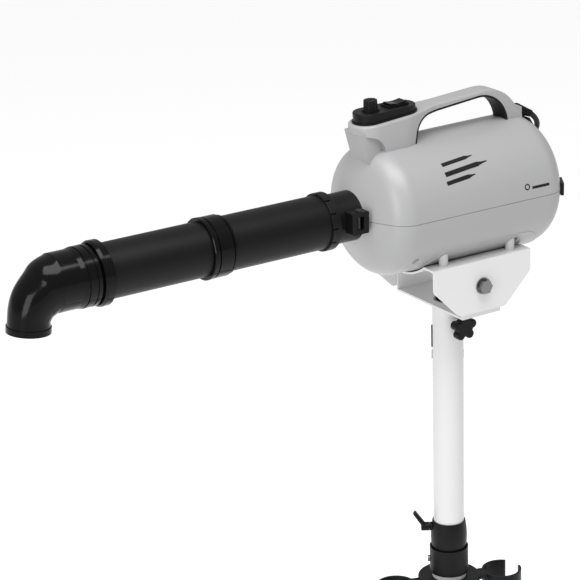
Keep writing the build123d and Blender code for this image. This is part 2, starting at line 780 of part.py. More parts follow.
# Impeller with its shaft.
with BuildPart() as impeller:
    with BuildSketch(across_case(IMPELLER_X[0])):
        Circle(IMPELLER_R)
    extrude(amount=IMPELLER_DISC)
    with BuildSketch(across_case(IMPELLER_X[0])):
        Circle(IMPELLER_HUB_R)
    extrude(amount=IMPELLER_X[1] - IMPELLER_X[0])
    with BuildSketch(across_case(IMPELLER_X[0])):
        with PolarLocations((IMPELLER_R + IMPELLER_HUB_R) / 2, IMPELLER_BLADES):
            Rectangle(IMPELLER_R - IMPELLER_HUB_R, BLADE, rotation=BLADE_TURN)
    extrude(amount=IMPELLER_X[1] - IMPELLER_X[0])
    with BuildSketch(across_case(MOTOR_X[0] + (MOTOR_X[1] - MOTOR_X[0]) / 2 + GAP)):
        Circle(SHAFT_R)
    extrude(until=Until.NEXT)
save(impeller, "impeller")

# Heater: a mica cross in a mica sleeve, with its wire coils and a flange in the case.
with BuildPart() as heater:
    with BuildSketch(across_case(HEATER_X[0])):
        Circle(HEATER_R)
        Circle(HEATER_R - MICA, mode=Mode.SUBTRACT)
        Rectangle(2 * HEATER_R - MICA, MICA)
        Rectangle(MICA, 2 * HEATER_R - MICA)
    extrude(amount=HEATER_X[1] - HEATER_X[0])
    with BuildSketch(across_case(HEATER_X[1])):
        Circle(CASE_R_FRONT)
        Circle(HEATER_R - MICA, mode=Mode.SUBTRACT)
    extrude(amount=-MICA)
    add(case_room.part, mode=Mode.INTERSECT)
    for turn in range(HEATER_COILS):
        coil_x = HEATER_X[0] + (turn + HEATER_FIRST_COIL) * (HEATER_X[1] - HEATER_X[0]) / HEATER_COILS
        with BuildSketch(case_side):
            with Locations((coil_x, HEATER_COIL_R)):
                Circle(HEATER_WIRE_R)
        revolve(axis=blower_axis)
save(heater, "heater")

# Ioniser block with its two needles, on the floor of the case behind the heater.
ioniser_floor = -(CASE_R_FRONT - CASE_WALL - GAP / 2)
ioniser_x = HEATER_X[1] + IONISER_GAP + IONISER_BOX[0] / 2
with BuildPart() as ioniser:
    with BuildSketch(case_plan.offset(ioniser_floor)):
        with Locations((ioniser_x, 0)):
            Rectangle(IONISER_BOX[0], IONISER_BOX[1])
    extrude(amount=IONISER_BOX[2])
    with BuildSketch(case_plan.offset(ioniser_floor + IONISER_BOX[2])):
        with Locations((ioniser_x - NEEDLE / 2, 0), (ioniser_x + NEEDLE / 2, 0)):
            Circle(NEEDLE_R)
    extrude(amount=NEEDLE)
save(ioniser, "ioniser")

# Rear cover: a slotted dome in the inlet with four clip tabs over the case.
cone_run = (CASE_REAR_X - CASE_REAR_CORNER_X, INLET_R - CASE_R_REAR)
cone_length = (cone_run[0] ** 2 + cone_run[1] ** 2) ** 0.5
cone_dir = (cone_run[0] / cone_length, cone_run[1] / cone_length)


def over_cone(along, out):
    """Point in x and radius: along the rear cone from its corner, and out from its surface."""
    x = CASE_REAR_CORNER_X + along * cone_dir[0] - out * cone_dir[1]
    r = CASE_R_REAR + along * cone_dir[1] + out * cone_dir[0]
    return (x, r)


tab_start = cone_length * 0.3
with BuildPart() as rear_cover:
    dome = turned(
        [
            (CASE_REAR_X - COVER_LIP, INLET_R - 2 * FIT),
            (CASE_REAR_X + 2, INLET_R - 2 * FIT),
            (CASE_REAR_X + 7, INLET_R * 0.76),
            (CASE_REAR_X + 12.5, INLET_R * 0.46),
            (CASE_REAR_X + 15.5, 0),
            (CASE_REAR_X + 12.5, 0),
            (CASE_REAR_X + 9.5, INLET_R * 0.45),
            (CASE_REAR_X + 4, INLET_R * 0.73),
            (CASE_REAR_X - 1, INLET_R - COVER_WALL),
            (CASE_REAR_X - COVER_LIP, INLET_R - COVER_WALL),
        ]
    )
    revolve(dome, axis=blower_axis)
    for quarter in range(4):
        across = radians(90 * quarter)
        tab_side = Plane(origin=(0, 0, AXIS_HEIGHT), x_dir=(1, 0, 0), z_dir=(0, -cos(across), sin(across)))
        with BuildSketch(tab_side):
            with BuildLine():
                Polyline(
                    over_cone(tab_start, TAB_LIFT),
                    over_cone(cone_length + 1, TAB_LIFT),
                    over_cone(cone_length + 1, TAB_THICK),
                    over_cone(tab_start, TAB_THICK),
                    close=True,
                )
            make_face()
        extrude(amount=TAB_HALF_WIDTH, both=True)
    with BuildSketch(across_case(CASE_REAR_X)):
        with PolarLocations(INLET_R * 0.52, COVER_SLOTS):
            SlotOverall(INLET_R * 0.6, COVER_SLOT_WIDTH)
    extrude(amount=INLET_R / 2, both=True, mode=Mode.SUBTRACT)
save(rear_cover, "rear_cover")

# Foam filter pad behind the slots of the cover.
with BuildPart() as inlet_filter:
    with BuildSketch(across_case(CASE_REAR_X - COVER_LIP)):
        Circle(INLET_R - COVER_WALL - 2 * FIT)
    extrude(amount=FILTER)
save(inlet_filter, "inlet_filter")

# ---------------------------------------------------------------- outlet tubes
# Collar clamped in the front of the case, with a screwed ear and a slotted lip for the tube.
with BuildPart() as outlet_collar:
    flange_x = CASE_FRONT_X + 2 * CASE_WALL + GAP
    collar = turned(
        [
            (flange_x + CASE_WALL, COLLAR_BORE_R),
            (flange_x + CASE_WALL, COLLAR_FLANGE_R),
            (flange_x, COLLAR_FLANGE_R),
            (flange_x, COLLAR_R),
            (COLLAR_LIP_X, COLLAR_R),
            (COLLAR_LIP_X, COLLAR_LIP_R),
            (COLLAR_END_X, COLLAR_LIP_R),
            (COLLAR_END_X, TUBE_R),
            (COLLAR_LIP_X - 2, TUBE_R),
            (COLLAR_LIP_X - 2, COLLAR_BORE_R),
        ]
    )
    revolve(collar, axis=blower_axis)
    lip_edges = outlet_collar.edges().filter_by(GeomType.CIRCLE)
    lip_edges = lip_edges.filter_by(lambda edge: abs(edge.radius - COLLAR_LIP_R) < 0.01)
    fillet(lip_edges, 1.0)
    with BuildSketch(facing_front(-EAR_OUT_Y, AXIS_HEIGHT)):
        with Locations(((EAR_FRONT_X + EAR_REAR_X) / 2, (EAR_TOP_Z + EAR_BOTTOM_Z) / 2)):
            RectangleRounded(EAR_REAR_X - EAR_FRONT_X, EAR_TOP_Z - EAR_BOTTOM_Z, EAR_EDGE)
    extrude(amount=-EAR_OUT_Y)
    with BuildSketch(across_case(EAR_FRONT_X)):
        Circle(COLLAR_BORE_R)
    extrude(amount=EAR_REAR_X - EAR_FRONT_X, mode=Mode.SUBTRACT)
    with BuildSketch(facing_front(-EAR_OUT_Y, AXIS_HEIGHT)):
        with Locations(((EAR_FRONT_X + EAR_REAR_X) / 2, (EAR_TOP_Z + EAR_BOTTOM_Z) / 2)):
            Rectangle(EAR_CHANNEL, EAR_TOP_Z - EAR_BOTTOM_Z - 2 * EAR_LAND)
    extrude(amount=-EAR_CHANNEL, mode=Mode.SUBTRACT)
    with BuildSketch(case_plan.offset(EAR_TOP_Z)):
        with Locations(((EAR_FRONT_X + EAR_REAR_X) / 2, -EAR_OUT_Y + EAR_CHANNEL / 2)):
            Circle(EAR_SCREW_R)
    extrude(amount=-(EAR_TOP_Z - EAR_BOTTOM_Z - EAR_FLOOR), mode=Mode.SUBTRACT)
    with BuildSketch(across_case(COLLAR_END_X)):
        with PolarLocations((COLLAR_LIP_R + TUBE_R) / 2 + 1, COLLAR_SLOTS):
            Rectangle(COLLAR_SLOT[0], COLLAR_SLOT[1])
    extrude(amount=COLLAR_SLOT[2], mode=Mode.SUBTRACT)
save(outlet_collar, "outlet_collar")

# Screw that closes the collar's ear.
with BuildPart() as collar_screw:
    with BuildSketch(case_plan.offset(EAR_TOP_Z)):
        with Locations(((EAR_FRONT_X + EAR_REAR_X) / 2, -EAR_OUT_Y + EAR_CHANNEL / 2)):
            Circle(EAR_SCREW_R)
    extrude(amount=-(EAR_TOP_Z - EAR_BOTTOM_Z - EAR_FLOOR))
    with BuildSketch(case_plan.offset(EAR_TOP_Z)):
        with Locations(((EAR_FRONT_X + EAR_REAR_X) / 2, -EAR_OUT_Y + EAR_CHANNEL / 2)):
            RegularPolygon(EAR_SCREW_HEAD[0], 6)
    extrude(amount=EAR_SCREW_HEAD[1])
save(collar_screw, "collar_screw")

coupling_middle = (COUPLING_REAR_X + COUPLING_FRONT_X) / 2


def plain_tube(start_x, end_x):
    """Plain outlet tube between two places on the blower's axis."""
    with BuildPart() as tube:
        with BuildSketch(across_case(start_x)):
            Circle(TUBE_R)
            Circle(TUBE_R - TUBE_WALL, mode=Mode.SUBTRACT)
        extrude(amount=end_x - start_x)
    return tube


rear_tube = plain_tube(coupling_middle + COUPLING_STOP / 2, COLLAR_LIP_X - 2)
save(rear_tube, "rear_tube")
front_tube = plain_tube(SOCKET_FRONT_X, coupling_middle - COUPLING_STOP / 2)
save(front_tube, "front_tube")

# Coupling between the two tubes, with a bead at each end and a stop inside.
with BuildPart() as tube_coupling:
    stop_r = TUBE_R - TUBE_WALL
    band = turned(
        [
            (COUPLING_REAR_X, TUBE_R),
            (COUPLING_REAR_X, COUPLING_R - 1.6),
            (COUPLING_REAR_X - 3, COUPLING_R - 1.6),
            (COUPLING_REAR_X - 3.4, COUPLING_R - 3),
            (COUPLING_REAR_X - 5, COUPLING_R - 3),
            (COUPLING_REAR_X - 5.6, COUPLING_R),
            (COUPLING_FRONT_X + 9, COUPLING_R),
            (COUPLING_FRONT_X + 8.6, COUPLING_R - 1.5),
            (COUPLING_FRONT_X + 7, COUPLING_R - 1.5),
            (COUPLING_FRONT_X + 6.6, COUPLING_R + 0.4),
            (COUPLING_FRONT_X + 1, COUPLING_R + 0.4),
            (COUPLING_FRONT_X, COUPLING_R - 0.6),
            (COUPLING_FRONT_X, TUBE_R),
            (coupling_middle - COUPLING_STOP / 2, TUBE_R),
            (coupling_middle - COUPLING_STOP / 2, stop_r),
            (coupling_middle + COUPLING_STOP / 2, stop_r),
            (coupling_middle + COUPLING_STOP / 2, TUBE_R),
        ]
    )
    revolve(band, axis=blower_axis)
save(tube_coupling, "tube_coupling")

# Socket ring on the front end of the front tube.
with BuildPart() as socket_ring:
    ring = turned(
        [
            (SOCKET_REAR_X, TUBE_R),
            (SOCKET_REAR_X, SOCKET_R - 2),
            (SOCKET_REAR_X - 1.5, SOCKET_R),
            (SOCKET_FRONT_X + 4, SOCKET_R),
            (SOCKET_FRONT_X, SOCKET_R - 2),
            (SOCKET_FRONT_X, TUBE_R),
        ]
    )
    revolve(ring, axis=blower_axis)
save(socket_ring, "socket_ring")


def elbow_section(step, wall):
    """Section of the bend, from its straight end to its outlet: a plane along the air, and its radius."""
    share = step / (ELBOW_STEPS - 1)
    turn = radians((90 - OUTLET_LEAN) * share)
    r = ELBOW_END_R + (ELBOW_R - ELBOW_END_R) * (1 - share) ** ELBOW_NARROWING
    inside = ELBOW_INSIDE[0] + (ELBOW_INSIDE[1] - ELBOW_INSIDE[0]) * share
    reach = inside + r
    place = (ELBOW_BEND_X - reach * sin(turn), 0, level(ELBOW_BEND_Z + reach * cos(turn)))
    return Plane(origin=place, x_dir=(-sin(turn), 0, cos(turn)), z_dir=(-cos(turn), 0, -sin(turn))), r - wall


def elbow_bend(wall):
    """The bend as a solid swept through its sections, each drawn in by a wall."""
    sections = [elbow_section(step, wall) for step in range(ELBOW_STEPS)]
    with BuildPart() as bend:
        with BuildLine():
            Spline(
                *[section.origin for section, r in sections],
                tangents=[sections[0][0].z_dir, sections[-1][0].z_dir],
            )
        for section, r in sections:
            with BuildSketch(section):
                Circle(r)
        sweep(multisection=True)
    return bend.part


spigot_bore_r = TUBE_R - TUBE_WALL
with BuildPart() as elbow_spigot:
    band = turned(
        [
            (SOCKET_FRONT_X + ELBOW_SPIGOT, spigot_bore_r - ELBOW_WALL),
            (SOCKET_FRONT_X + ELBOW_SPIGOT, spigot_bore_r - FIT),
            (SOCKET_FRONT_X - GAP, spigot_bore_r - FIT),
            (SOCKET_FRONT_X - GAP, TUBE_R),
            (ELBOW_SHOULDER_X, TUBE_R),
            (ELBOW_SHOULDER_X, ELBOW_BAND_R),
            (ELBOW_SHOULDER_X - 5, ELBOW_BAND_R),
            (ELBOW_SHOULDER_X - 5.4, ELBOW_BAND_R - 1.2),
            (ELBOW_SHOULDER_X - 7, ELBOW_BAND_R - 1.2),
            (ELBOW_SHOULDER_X - 7.4, ELBOW_BAND_R),
            (ELBOW_SHOULDER_X - 17, ELBOW_BAND_R),
            (ELBOW_SHOULDER_X - 17.4, ELBOW_BAND_R - 1.2),
            (ELBOW_SHOULDER_X - 19.6, ELBOW_BAND_R - 1.2),
            (ELBOW_SHOULDER_X - 20, ELBOW_BAND_R - 0.3),
            (ELBOW_SHOULDER_X - 26, ELBOW_R),
            (ELBOW_BEND_X, ELBOW_R),
            (ELBOW_BEND_X, ELBOW_R - ELBOW_WALL),
            (ELBOW_SHOULDER_X - 6, ELBOW_R - ELBOW_WALL),
            (ELBOW_SHOULDER_X, spigot_bore_r - ELBOW_WALL),
        ]
    )
    revolve(band, axis=blower_axis)

# Elbow: straight spigot, a bend that narrows, and a ring round the outlet.
with BuildPart() as nozzle_elbow:
    add(elbow_bend(0))
    mouth = elbow_section(ELBOW_STEPS - 1, 0)[0]
    with BuildSketch(mouth):
        Circle(ELBOW_END_R)
    extrude(amount=OUTLET_NECK)
    with BuildSketch(mouth.offset(OUTLET_NECK)):
        Circle(OUTLET_RING_R)
    extrude(amount=OUTLET_RING)
    add(elbow_bend(ELBOW_WALL), mode=Mode.SUBTRACT)
    with BuildSketch(mouth):
        Circle(ELBOW_END_R - ELBOW_WALL)
    extrude(amount=OUTLET_NECK + OUTLET_RING, mode=Mode.SUBTRACT)
    add(elbow_spigot.part)
save(nozzle_elbow, "nozzle_elbow")
outlet_face = mouth.offset(OUTLET_NECK + OUTLET_RING / 2).origin
print("outlet ring centre", outlet_face)

# ---------------------------------------------------------------- saddle and bracket
# Saddle: pressed trough under the case, with a cheek on each side for the pivot bolts.
trough_outer = SADDLE_TROUGH_R + SHEET
with BuildPart() as saddle:
    with BuildSketch(across_case(-SADDLE_HALF_LENGTH)):
        Circle(trough_outer)
        with Locations((0, SADDLE_FLANGE_Z + 2 * trough_outer)):
            Rectangle(4 * trough_outer, 4 * trough_outer, mode=Mode.SUBTRACT)
        with Locations((0, SADDLE_FLANGE_Z - SHEET / 2)):
            Rectangle(2 * saddle_outer_y, SHEET)
        Circle(SADDLE_TROUGH_R, mode=Mode.SUBTRACT)
        for side in (-1, 1):
            with Locations((side * (saddle_outer_y - SHEET / 2), (SADDLE_FLANGE_Z + CHEEK_BOTTOM_Z) / 2)):
                Rectangle(SHEET, SADDLE_FLANGE_Z - CHEEK_BOTTOM_Z)
    extrude(amount=2 * SADDLE_HALF_LENGTH)
    with BuildSketch(case_side):
        with BuildLine():
            Polyline(
                (-SADDLE_HALF_LENGTH, 0),
                (-SADDLE_HALF_LENGTH, CHEEK_SIDE_Z),
                (-CHEEK_BOTTOM_HALF, CHEEK_BOTTOM_Z),
                (CHEEK_BOTTOM_HALF, CHEEK_BOTTOM_Z),
                (SADDLE_HALF_LENGTH, CHEEK_SIDE_Z),
                (SADDLE_HALF_LENGTH, 0),
                close=True,
            )
        cheek = make_face()
        fillet(cheek.vertices().filter_by(lambda corner: corner.Y < -1), CHEEK_CORNER_R)
    extrude(amount=saddle_outer_y + 1, both=True, mode=Mode.INTERSECT)
    with BuildSketch(facing_front(0, level(PIVOT_Z))):
        Circle(PIVOT_BOLT_R + FIT)
    extrude(amount=saddle_outer_y + 1, both=True, mode=Mode.SUBTRACT)
    with BuildSketch(case_plan.offset(SADDLE_FLANGE_Z)):
        with GridLocations(2 * POST_X, 2 * POST_Y, 2, 2):
            Circle(POST_SCREW_R + FIT)
    extrude(amount=-SHEET, mode=Mode.SUBTRACT)
save(saddle, "saddle")

# Short posts between the saddle's flanges and the case.
with BuildPart() as saddle_posts:
    with BuildSketch(case_plan.offset(SADDLE_FLANGE_Z)):
        with GridLocations(2 * POST_X, 2 * POST_Y, 2, 2):
            Circle(POST_R)
    extrude(amount=POST_TOP_Z - SADDLE_FLANGE_Z)
    fillet(saddle_posts.faces().group_by(Axis.Z)[-1].edges(), POST_EDGE)
    revolve(case_half(-PLINTH_PROUD - GAP / 2), axis=blower_axis, mode=Mode.SUBTRACT)
    with BuildSketch(case_plan.offset(SADDLE_FLANGE_Z)):
        with GridLocations(2 * POST_X, 2 * POST_Y, 2, 2):
            Circle(POST_SCREW_R)
    extrude(amount=POST_SCREW_DEPTH, mode=Mode.SUBTRACT)
save(saddle_posts, "saddle_posts")

# Screws up through the flanges into the posts.
with BuildPart() as saddle_screws:
    with BuildSketch(case_plan.offset(SADDLE_FLANGE_Z - SHEET)):
        with GridLocations(2 * POST_X, 2 * POST_Y, 2, 2):
            Circle(POST_SCREW_HEAD_R)
    extrude(amount=-POST_SCREW_HEAD)
    with BuildSketch(case_plan.offset(SADDLE_FLANGE_Z - SHEET)):
        with GridLocations(2 * POST_X, 2 * POST_Y, 2, 2):
            Circle(POST_SCREW_R)
    extrude(amount=SHEET + POST_SCREW_DEPTH)
save(saddle_screws, "saddle_screws")

# Bracket: a folded channel on top of the pole, with round-topped ears at the pivot.
bracket_inner_y = BRACKET_HALF_WIDTH - SHEET
bracket_mid = (PIVOT_Z + BRACKET_BOTTOM_Z) / 2
with BuildPart() as tilt_bracket:
    with BuildSketch(facing_front(0, AXIS_HEIGHT)):
        with Locations((0, bracket_mid)):
            Rectangle(2 * BRACKET_HALF_LENGTH, PIVOT_Z - BRACKET_BOTTOM_Z)
        with Locations((0, PIVOT_Z)):
            Circle(BRACKET_HALF_LENGTH)
    extrude(amount=BRACKET_HALF_WIDTH, both=True)
    with BuildSketch(across_case(-2 * BRACKET_HALF_LENGTH)):
        with Locations((0, PIVOT_Z)):
            Rectangle(2 * bracket_inner_y, 2 * (PIVOT_Z - BRACKET_BOTTOM_Z - SHEET))
    extrude(amount=4 * BRACKET_HALF_LENGTH, mode=Mode.SUBTRACT)
    with BuildSketch(facing_front(0, level(PIVOT_Z))):
        Circle(PIVOT_BOLT_R + FIT)
    extrude(amount=BRACKET_HALF_WIDTH + 1, both=True, mode=Mode.SUBTRACT)
    with BuildSketch(Plane.XY.offset(level(BRACKET_BOTTOM_Z))):
        Circle(spigot_r)
    extrude(amount=SHEET, mode=Mode.SUBTRACT)
save(tilt_bracket, "tilt_bracket")

# Spigot welded through the bracket's floor; it turns inside the top of the upper pole.
with BuildPart() as head_spigot:
    with BuildSketch(Plane.XY.offset(level(BRACKET_BOTTOM_Z) + SHEET)):
        Circle(spigot_r)
        Circle(spigot_r - SPIGOT_WALL, mode=Mode.SUBTRACT)
    extrude(amount=-SPIGOT_LENGTH - SHEET)
save(head_spigot, "head_spigot")


def pivot_bolt(side):
    """Pivot bolt through one cheek: hexagon head outside, washer, shank and inner nut."""
    outwards = Plane(origin=(0, side * saddle_outer_y, level(PIVOT_Z)), x_dir=(1, 0, 0), z_dir=(0, side, 0))
    with BuildPart() as bolt:
        with BuildSketch(outwards.offset(PIVOT_SEAT)):
            Circle(PIVOT_WASHER_R)
        extrude(amount=PIVOT_WASHER)
        with BuildSketch(outwards.offset(PIVOT_WASHER)):
            RegularPolygon(PIVOT_FLATS / 2, 6, major_radius=False)
        extrude(amount=PIVOT_HEAD)
        with BuildSketch(outwards.offset(PIVOT_WASHER)):
            Circle(PIVOT_BOLT_R)
        extrude(amount=-(saddle_outer_y - bracket_inner_y + PIVOT_HEAD + PIVOT_WASHER))
        with BuildSketch(outwards.offset(-(saddle_outer_y - bracket_inner_y) - PIVOT_SEAT)):
            RegularPolygon(PIVOT_FLATS / 2, 6, major_radius=False)
        extrude(amount=-PIVOT_NUT)
    return bolt


with BuildPart() as pivot_bolts:
    for side in (-1, 1):
        add(pivot_bolt(side).part)
save(pivot_bolts, "pivot_bolts")

# ---------------------------------------------------------------- poles and clamp
# Upper pole, with the boss that the star knob screws into.
mast_top = level(BRACKET_BOTTOM_Z) - GAP
knob_height = level(KNOB_Z)
with BuildPart() as upper_pole:
    with BuildSketch(Plane.XY.offset(mast_top)):
        Circle(MAST_R)
    extrude(amount=-(mast_top - level(MAST_BOTTOM_Z)))
    with BuildSketch(facing_front(-MAST_R / 2, knob_height)):
        Circle(KNOB_BOSS_R)
    extrude(amount=KNOB_BOSS_Y - MAST_R / 2)
    with BuildSketch(Plane.XY.offset(mast_top)):
        Circle(MAST_R - MAST_WALL)
    extrude(amount=-(mast_top - level(MAST_BOTTOM_Z)), mode=Mode.SUBTRACT)
    with BuildSketch(facing_front(0, knob_height)):
        Circle(KNOB_STUD_R + FIT)
    extrude(amount=KNOB_BOSS_Y + 1, mode=Mode.SUBTRACT)
save(upper_pole, "upper_pole")

# Star knob on its stud; it locks the bracket's spigot.
with BuildPart() as star_knob:
    knob_face = facing_front(-KNOB_FACE_Y, knob_height)
    with BuildSketch(knob_face):
        Circle(KNOB_REACH)
        with PolarLocations(KNOB_REACH, KNOB_LOBES, start_angle=90):
            Circle(KNOB_LOBE_R)
    extrude(amount=KNOB_THICK)
    fillet(star_knob.faces().sort_by(Axis.Y)[0].edges(), KNOB_EDGES[0])
    fillet(star_knob.faces().sort_by(Axis.Y)[-1].edges(), KNOB_EDGES[1])
    with BuildSketch(facing_front(-KNOB_BOSS_Y - GAP, knob_height)):
        Circle(KNOB_BOSS_R - 1)
    extrude(amount=KNOB_FACE_Y - KNOB_BOSS_Y)
    with BuildSketch(facing_front(-spigot_r - GAP, knob_height)):
        Circle(KNOB_STUD_R)
    extrude(amount=KNOB_FACE_Y - spigot_r)
save(star_knob, "star_knob")

# Lower pole, whose bore guides the upper one.
with BuildPart() as lower_pole:
    with BuildSketch(Plane.XY.offset(LEG_BOTTOM_Z + 1)):
        Circle(POLE_R)
        Circle(pole_bore_r, mode=Mode.SUBTRACT)
    extrude(amount=level(POLE_TOP_Z) - LEG_BOTTOM_Z - 1)
save(lower_pole, "lower_pole")

# Split clamping sleeve that stands on the lower pole and grips the upper one.
with BuildPart() as clamp_sleeve:
    with BuildSketch(Plane.XZ):
        with BuildLine():
            bulge = ThreePointArc(
                (SLEEVE_END_R, level(POLE_TOP_Z)),
                (SLEEVE_R, level(SLEEVE_MID_Z)),
                (SLEEVE_END_R, level(SLEEVE_TOP_Z)),
            )
            Polyline(
                bulge @ 1,
                (pole_bore_r, level(SLEEVE_TOP_Z)),
                (pole_bore_r, level(POLE_TOP_Z)),
                bulge @ 0,
            )
        make_face()
    revolve(axis=Axis.Z)
    with BuildSketch(radial(LEVER_ANGLE, pole_bore_r + 1, level(LEVER_Z))):
        Circle(LEVER_HUB_R)
    extrude(amount=LEVER_HUB[0] - pole_bore_r - 1 - GAP)
    with BuildSketch(radial(LEVER_ANGLE, 0, level(LEVER_Z))):
        Circle(LEVER_STUD_R + FIT)
    extrude(amount=LEVER_HUB[0], mode=Mode.SUBTRACT)
save(clamp_sleeve, "clamp_sleeve")

# Clamp lever with its hub and stud.
with BuildPart() as clamp_lever:
    hub_plane = radial(LEVER_ANGLE, LEVER_HUB[0], level(LEVER_Z))
    with BuildSketch(hub_plane):
        Circle(LEVER_HUB_R)
    extrude(amount=LEVER_HUB[1] - LEVER_HUB[0])
    fillet(clamp_lever.faces().sort_by(SortBy.DISTANCE)[-1].edges(), LEVER_EDGE)
    with BuildSketch(hub_plane):
        Circle(LEVER_STUD_R)
    extrude(amount=-(LEVER_HUB[0] - MAST_R - GAP))
    lean = radians(LEVER_ARM_LEAN)
    out = hub_plane.z_dir
    arm_dir = Vector(out.X * cos(lean), out.Y * cos(lean), sin(lean))
    arm_start = hub_plane.origin + out * ((LEVER_HUB[1] - LEVER_HUB[0]) / 2)
    with BuildSketch(Plane(origin=arm_start, x_dir=hub_plane.x_dir, z_dir=arm_dir)):
        SlotOverall(*LEVER_ROOT)
    with BuildSketch(Plane(origin=arm_start + arm_dir * LEVER_ARM, x_dir=hub_plane.x_dir, z_dir=arm_dir)):
        SlotOverall(*LEVER_TIP)
    loft()
save(clamp_lever, "clamp_lever")

# Collar that joins the sleeve to the lower pole.
with BuildPart() as clamp_collar:
    ring = pole_profile(
        [
            (POLE_R, level(CLAMP_COLLAR_BOTTOM_Z)),
            (CLAMP_COLLAR_R, level(CLAMP_COLLAR_BOTTOM_Z)),
            (CLAMP_COLLAR_R, level(CLAMP_COLLAR_TOP_Z)),
            (SLEEVE_R, level(CLAMP_COLLAR_TOP_Z)),
            (SLEEVE_R, level(POLE_TOP_Z)),
            (POLE_R, level(POLE_TOP_Z)),
        ]
    )
    revolve(ring, axis=Axis.Z)
    with BuildSketch(radial(LEVER_ANGLE, 0, level(COLLAR_SCREW_Z))):
        Circle(COLLAR_SCREW_R)
    extrude(amount=2 * CLAMP_COLLAR_R, mode=Mode.SUBTRACT)
save(clamp_collar, "clamp_collar")

# Screw of the clamp collar.
with BuildPart() as collar_bolt:
    with BuildSketch(radial(LEVER_ANGLE, POLE_R, level(COLLAR_SCREW_Z))):
        Circle(COLLAR_SCREW_R)
    extrude(amount=CLAMP_COLLAR_R - POLE_R)
    with BuildSketch(radial(LEVER_ANGLE, CLAMP_COLLAR_R, level(COLLAR_SCREW_Z))):
        Circle(COLLAR_SCREW_HEAD[0])
    extrude(amount=COLLAR_SCREW_HEAD[1])
save(collar_bolt, "collar_bolt")

# Tool holder: a disc on the pole with two open rings.
holder_top = Plane.XY.offset(level(HOLDER_TOP_Z))
with BuildPart() as tool_holder:
    with BuildSketch(holder_top):
        Circle(HOLDER_DISC_R)
    extrude(amount=-HOLDER_DISC)
    fillet(tool_holder.edges(), HOLDER_EDGE)
    for angle in HOLDER_ANGLES:
        with BuildSketch(holder_top.rotated((0, 0, angle)).offset(-HOLDER_DISC / 2)):
            with Locations((HOLDER_REACH, 0)):
                Circle(HOLDER_RING_R)
            with Locations(((HOLDER_DISC_R + HOLDER_REACH) / 2 - HOLDER_RING_R / 2, 0)):
                Rectangle(HOLDER_REACH - HOLDER_RING_R, HOLDER_ARM_WIDTH)
        extrude(amount=-HOLDER_DISC)
        with BuildSketch(holder_top.rotated((0, 0, angle)).offset(-HOLDER_DISC / 2)):
            with Locations((HOLDER_REACH, 0)):
                Circle(HOLDER_RING_R)
        extrude(amount=-HOLDER_RING)
    for angle in HOLDER_ANGLES:
        with BuildSketch(holder_top.rotated((0, 0, angle))):
            with Locations((HOLDER_REACH, 0)):
                Circle(HOLDER_RING_R - HOLDER_RING_WALL)
        extrude(amount=-2 * HOLDER_RING, mode=Mode.SUBTRACT)
        with BuildSketch(holder_top.rotated((0, 0, angle))):
            with Locations(Location((HOLDER_REACH, 0), HOLDER_MOUTH_TURN)):
                with Locations((HOLDER_RING_R, 0)):
                    Rectangle(HOLDER_RING_R, HOLDER_MOUTH)
        extrude(amount=-2 * HOLDER_RING, mode=Mode.SUBTRACT)
    with BuildSketch(holder_top):
        Circle(POLE_R)
    extrude(amount=-2 * HOLDER_RING, mode=Mode.SUBTRACT)
save(tool_holder, "tool_holder")

# ---------------------------------------------------------------- wheeled base
# Hub with a plug for the lower pole and a flange under the legs.
with BuildPart() as base_hub:
    hub = pole_profile(
        [
            (0, LEG_BOTTOM_Z - HUB_FLANGE),
            (HUB_FLANGE_R, LEG_BOTTOM_Z - HUB_FLANGE),
            (HUB_FLANGE_R, LEG_BOTTOM_Z),
            (HUB_R, LEG_BOTTOM_Z),
            (HUB_R, HUB_TOP_Z - HUB_SHOULDER),
            (HUB_R - HUB_SHOULDER, HUB_TOP_Z),
            (POLE_R, HUB_TOP_Z),
            (POLE_R, LEG_BOTTOM_Z + 1),
            (pole_bore_r, LEG_BOTTOM_Z + 1),
            (pole_bore_r, HUB_PLUG_TOP_Z),
            (0, HUB_PLUG_TOP_Z),
        ]
    )
    revolve(hub, axis=Axis.Z)
    with BuildSketch(Plane.XY.offset(LEG_BOTTOM_Z - HUB_FLANGE)):
        Circle(POLE_BOLT_R)
        with PolarLocations(LEG_BOLT_REACH, LEG_COUNT, start_angle=LEG_FIRST_ANGLE):
            Circle(LEG_BOLT_R)
    extrude(amount=HUB_BOLT_DEPTH, mode=Mode.SUBTRACT)
save(base_hub, "base_hub")

# Bolt up through the hub into its plug.
with BuildPart() as pole_bolt:
    with BuildSketch(Plane.XY.offset(LEG_BOTTOM_Z - HUB_FLANGE)):
        RegularPolygon(POLE_BOLT_HEAD_R, 6)
    extrude(amount=-POLE_BOLT_HEAD)
    with BuildSketch(Plane.XY.offset(LEG_BOTTOM_Z - HUB_FLANGE)):
        Circle(POLE_BOLT_R)
    extrude(amount=POLE_BOLT_LENGTH)
save(pole_bolt, "pole_bolt")

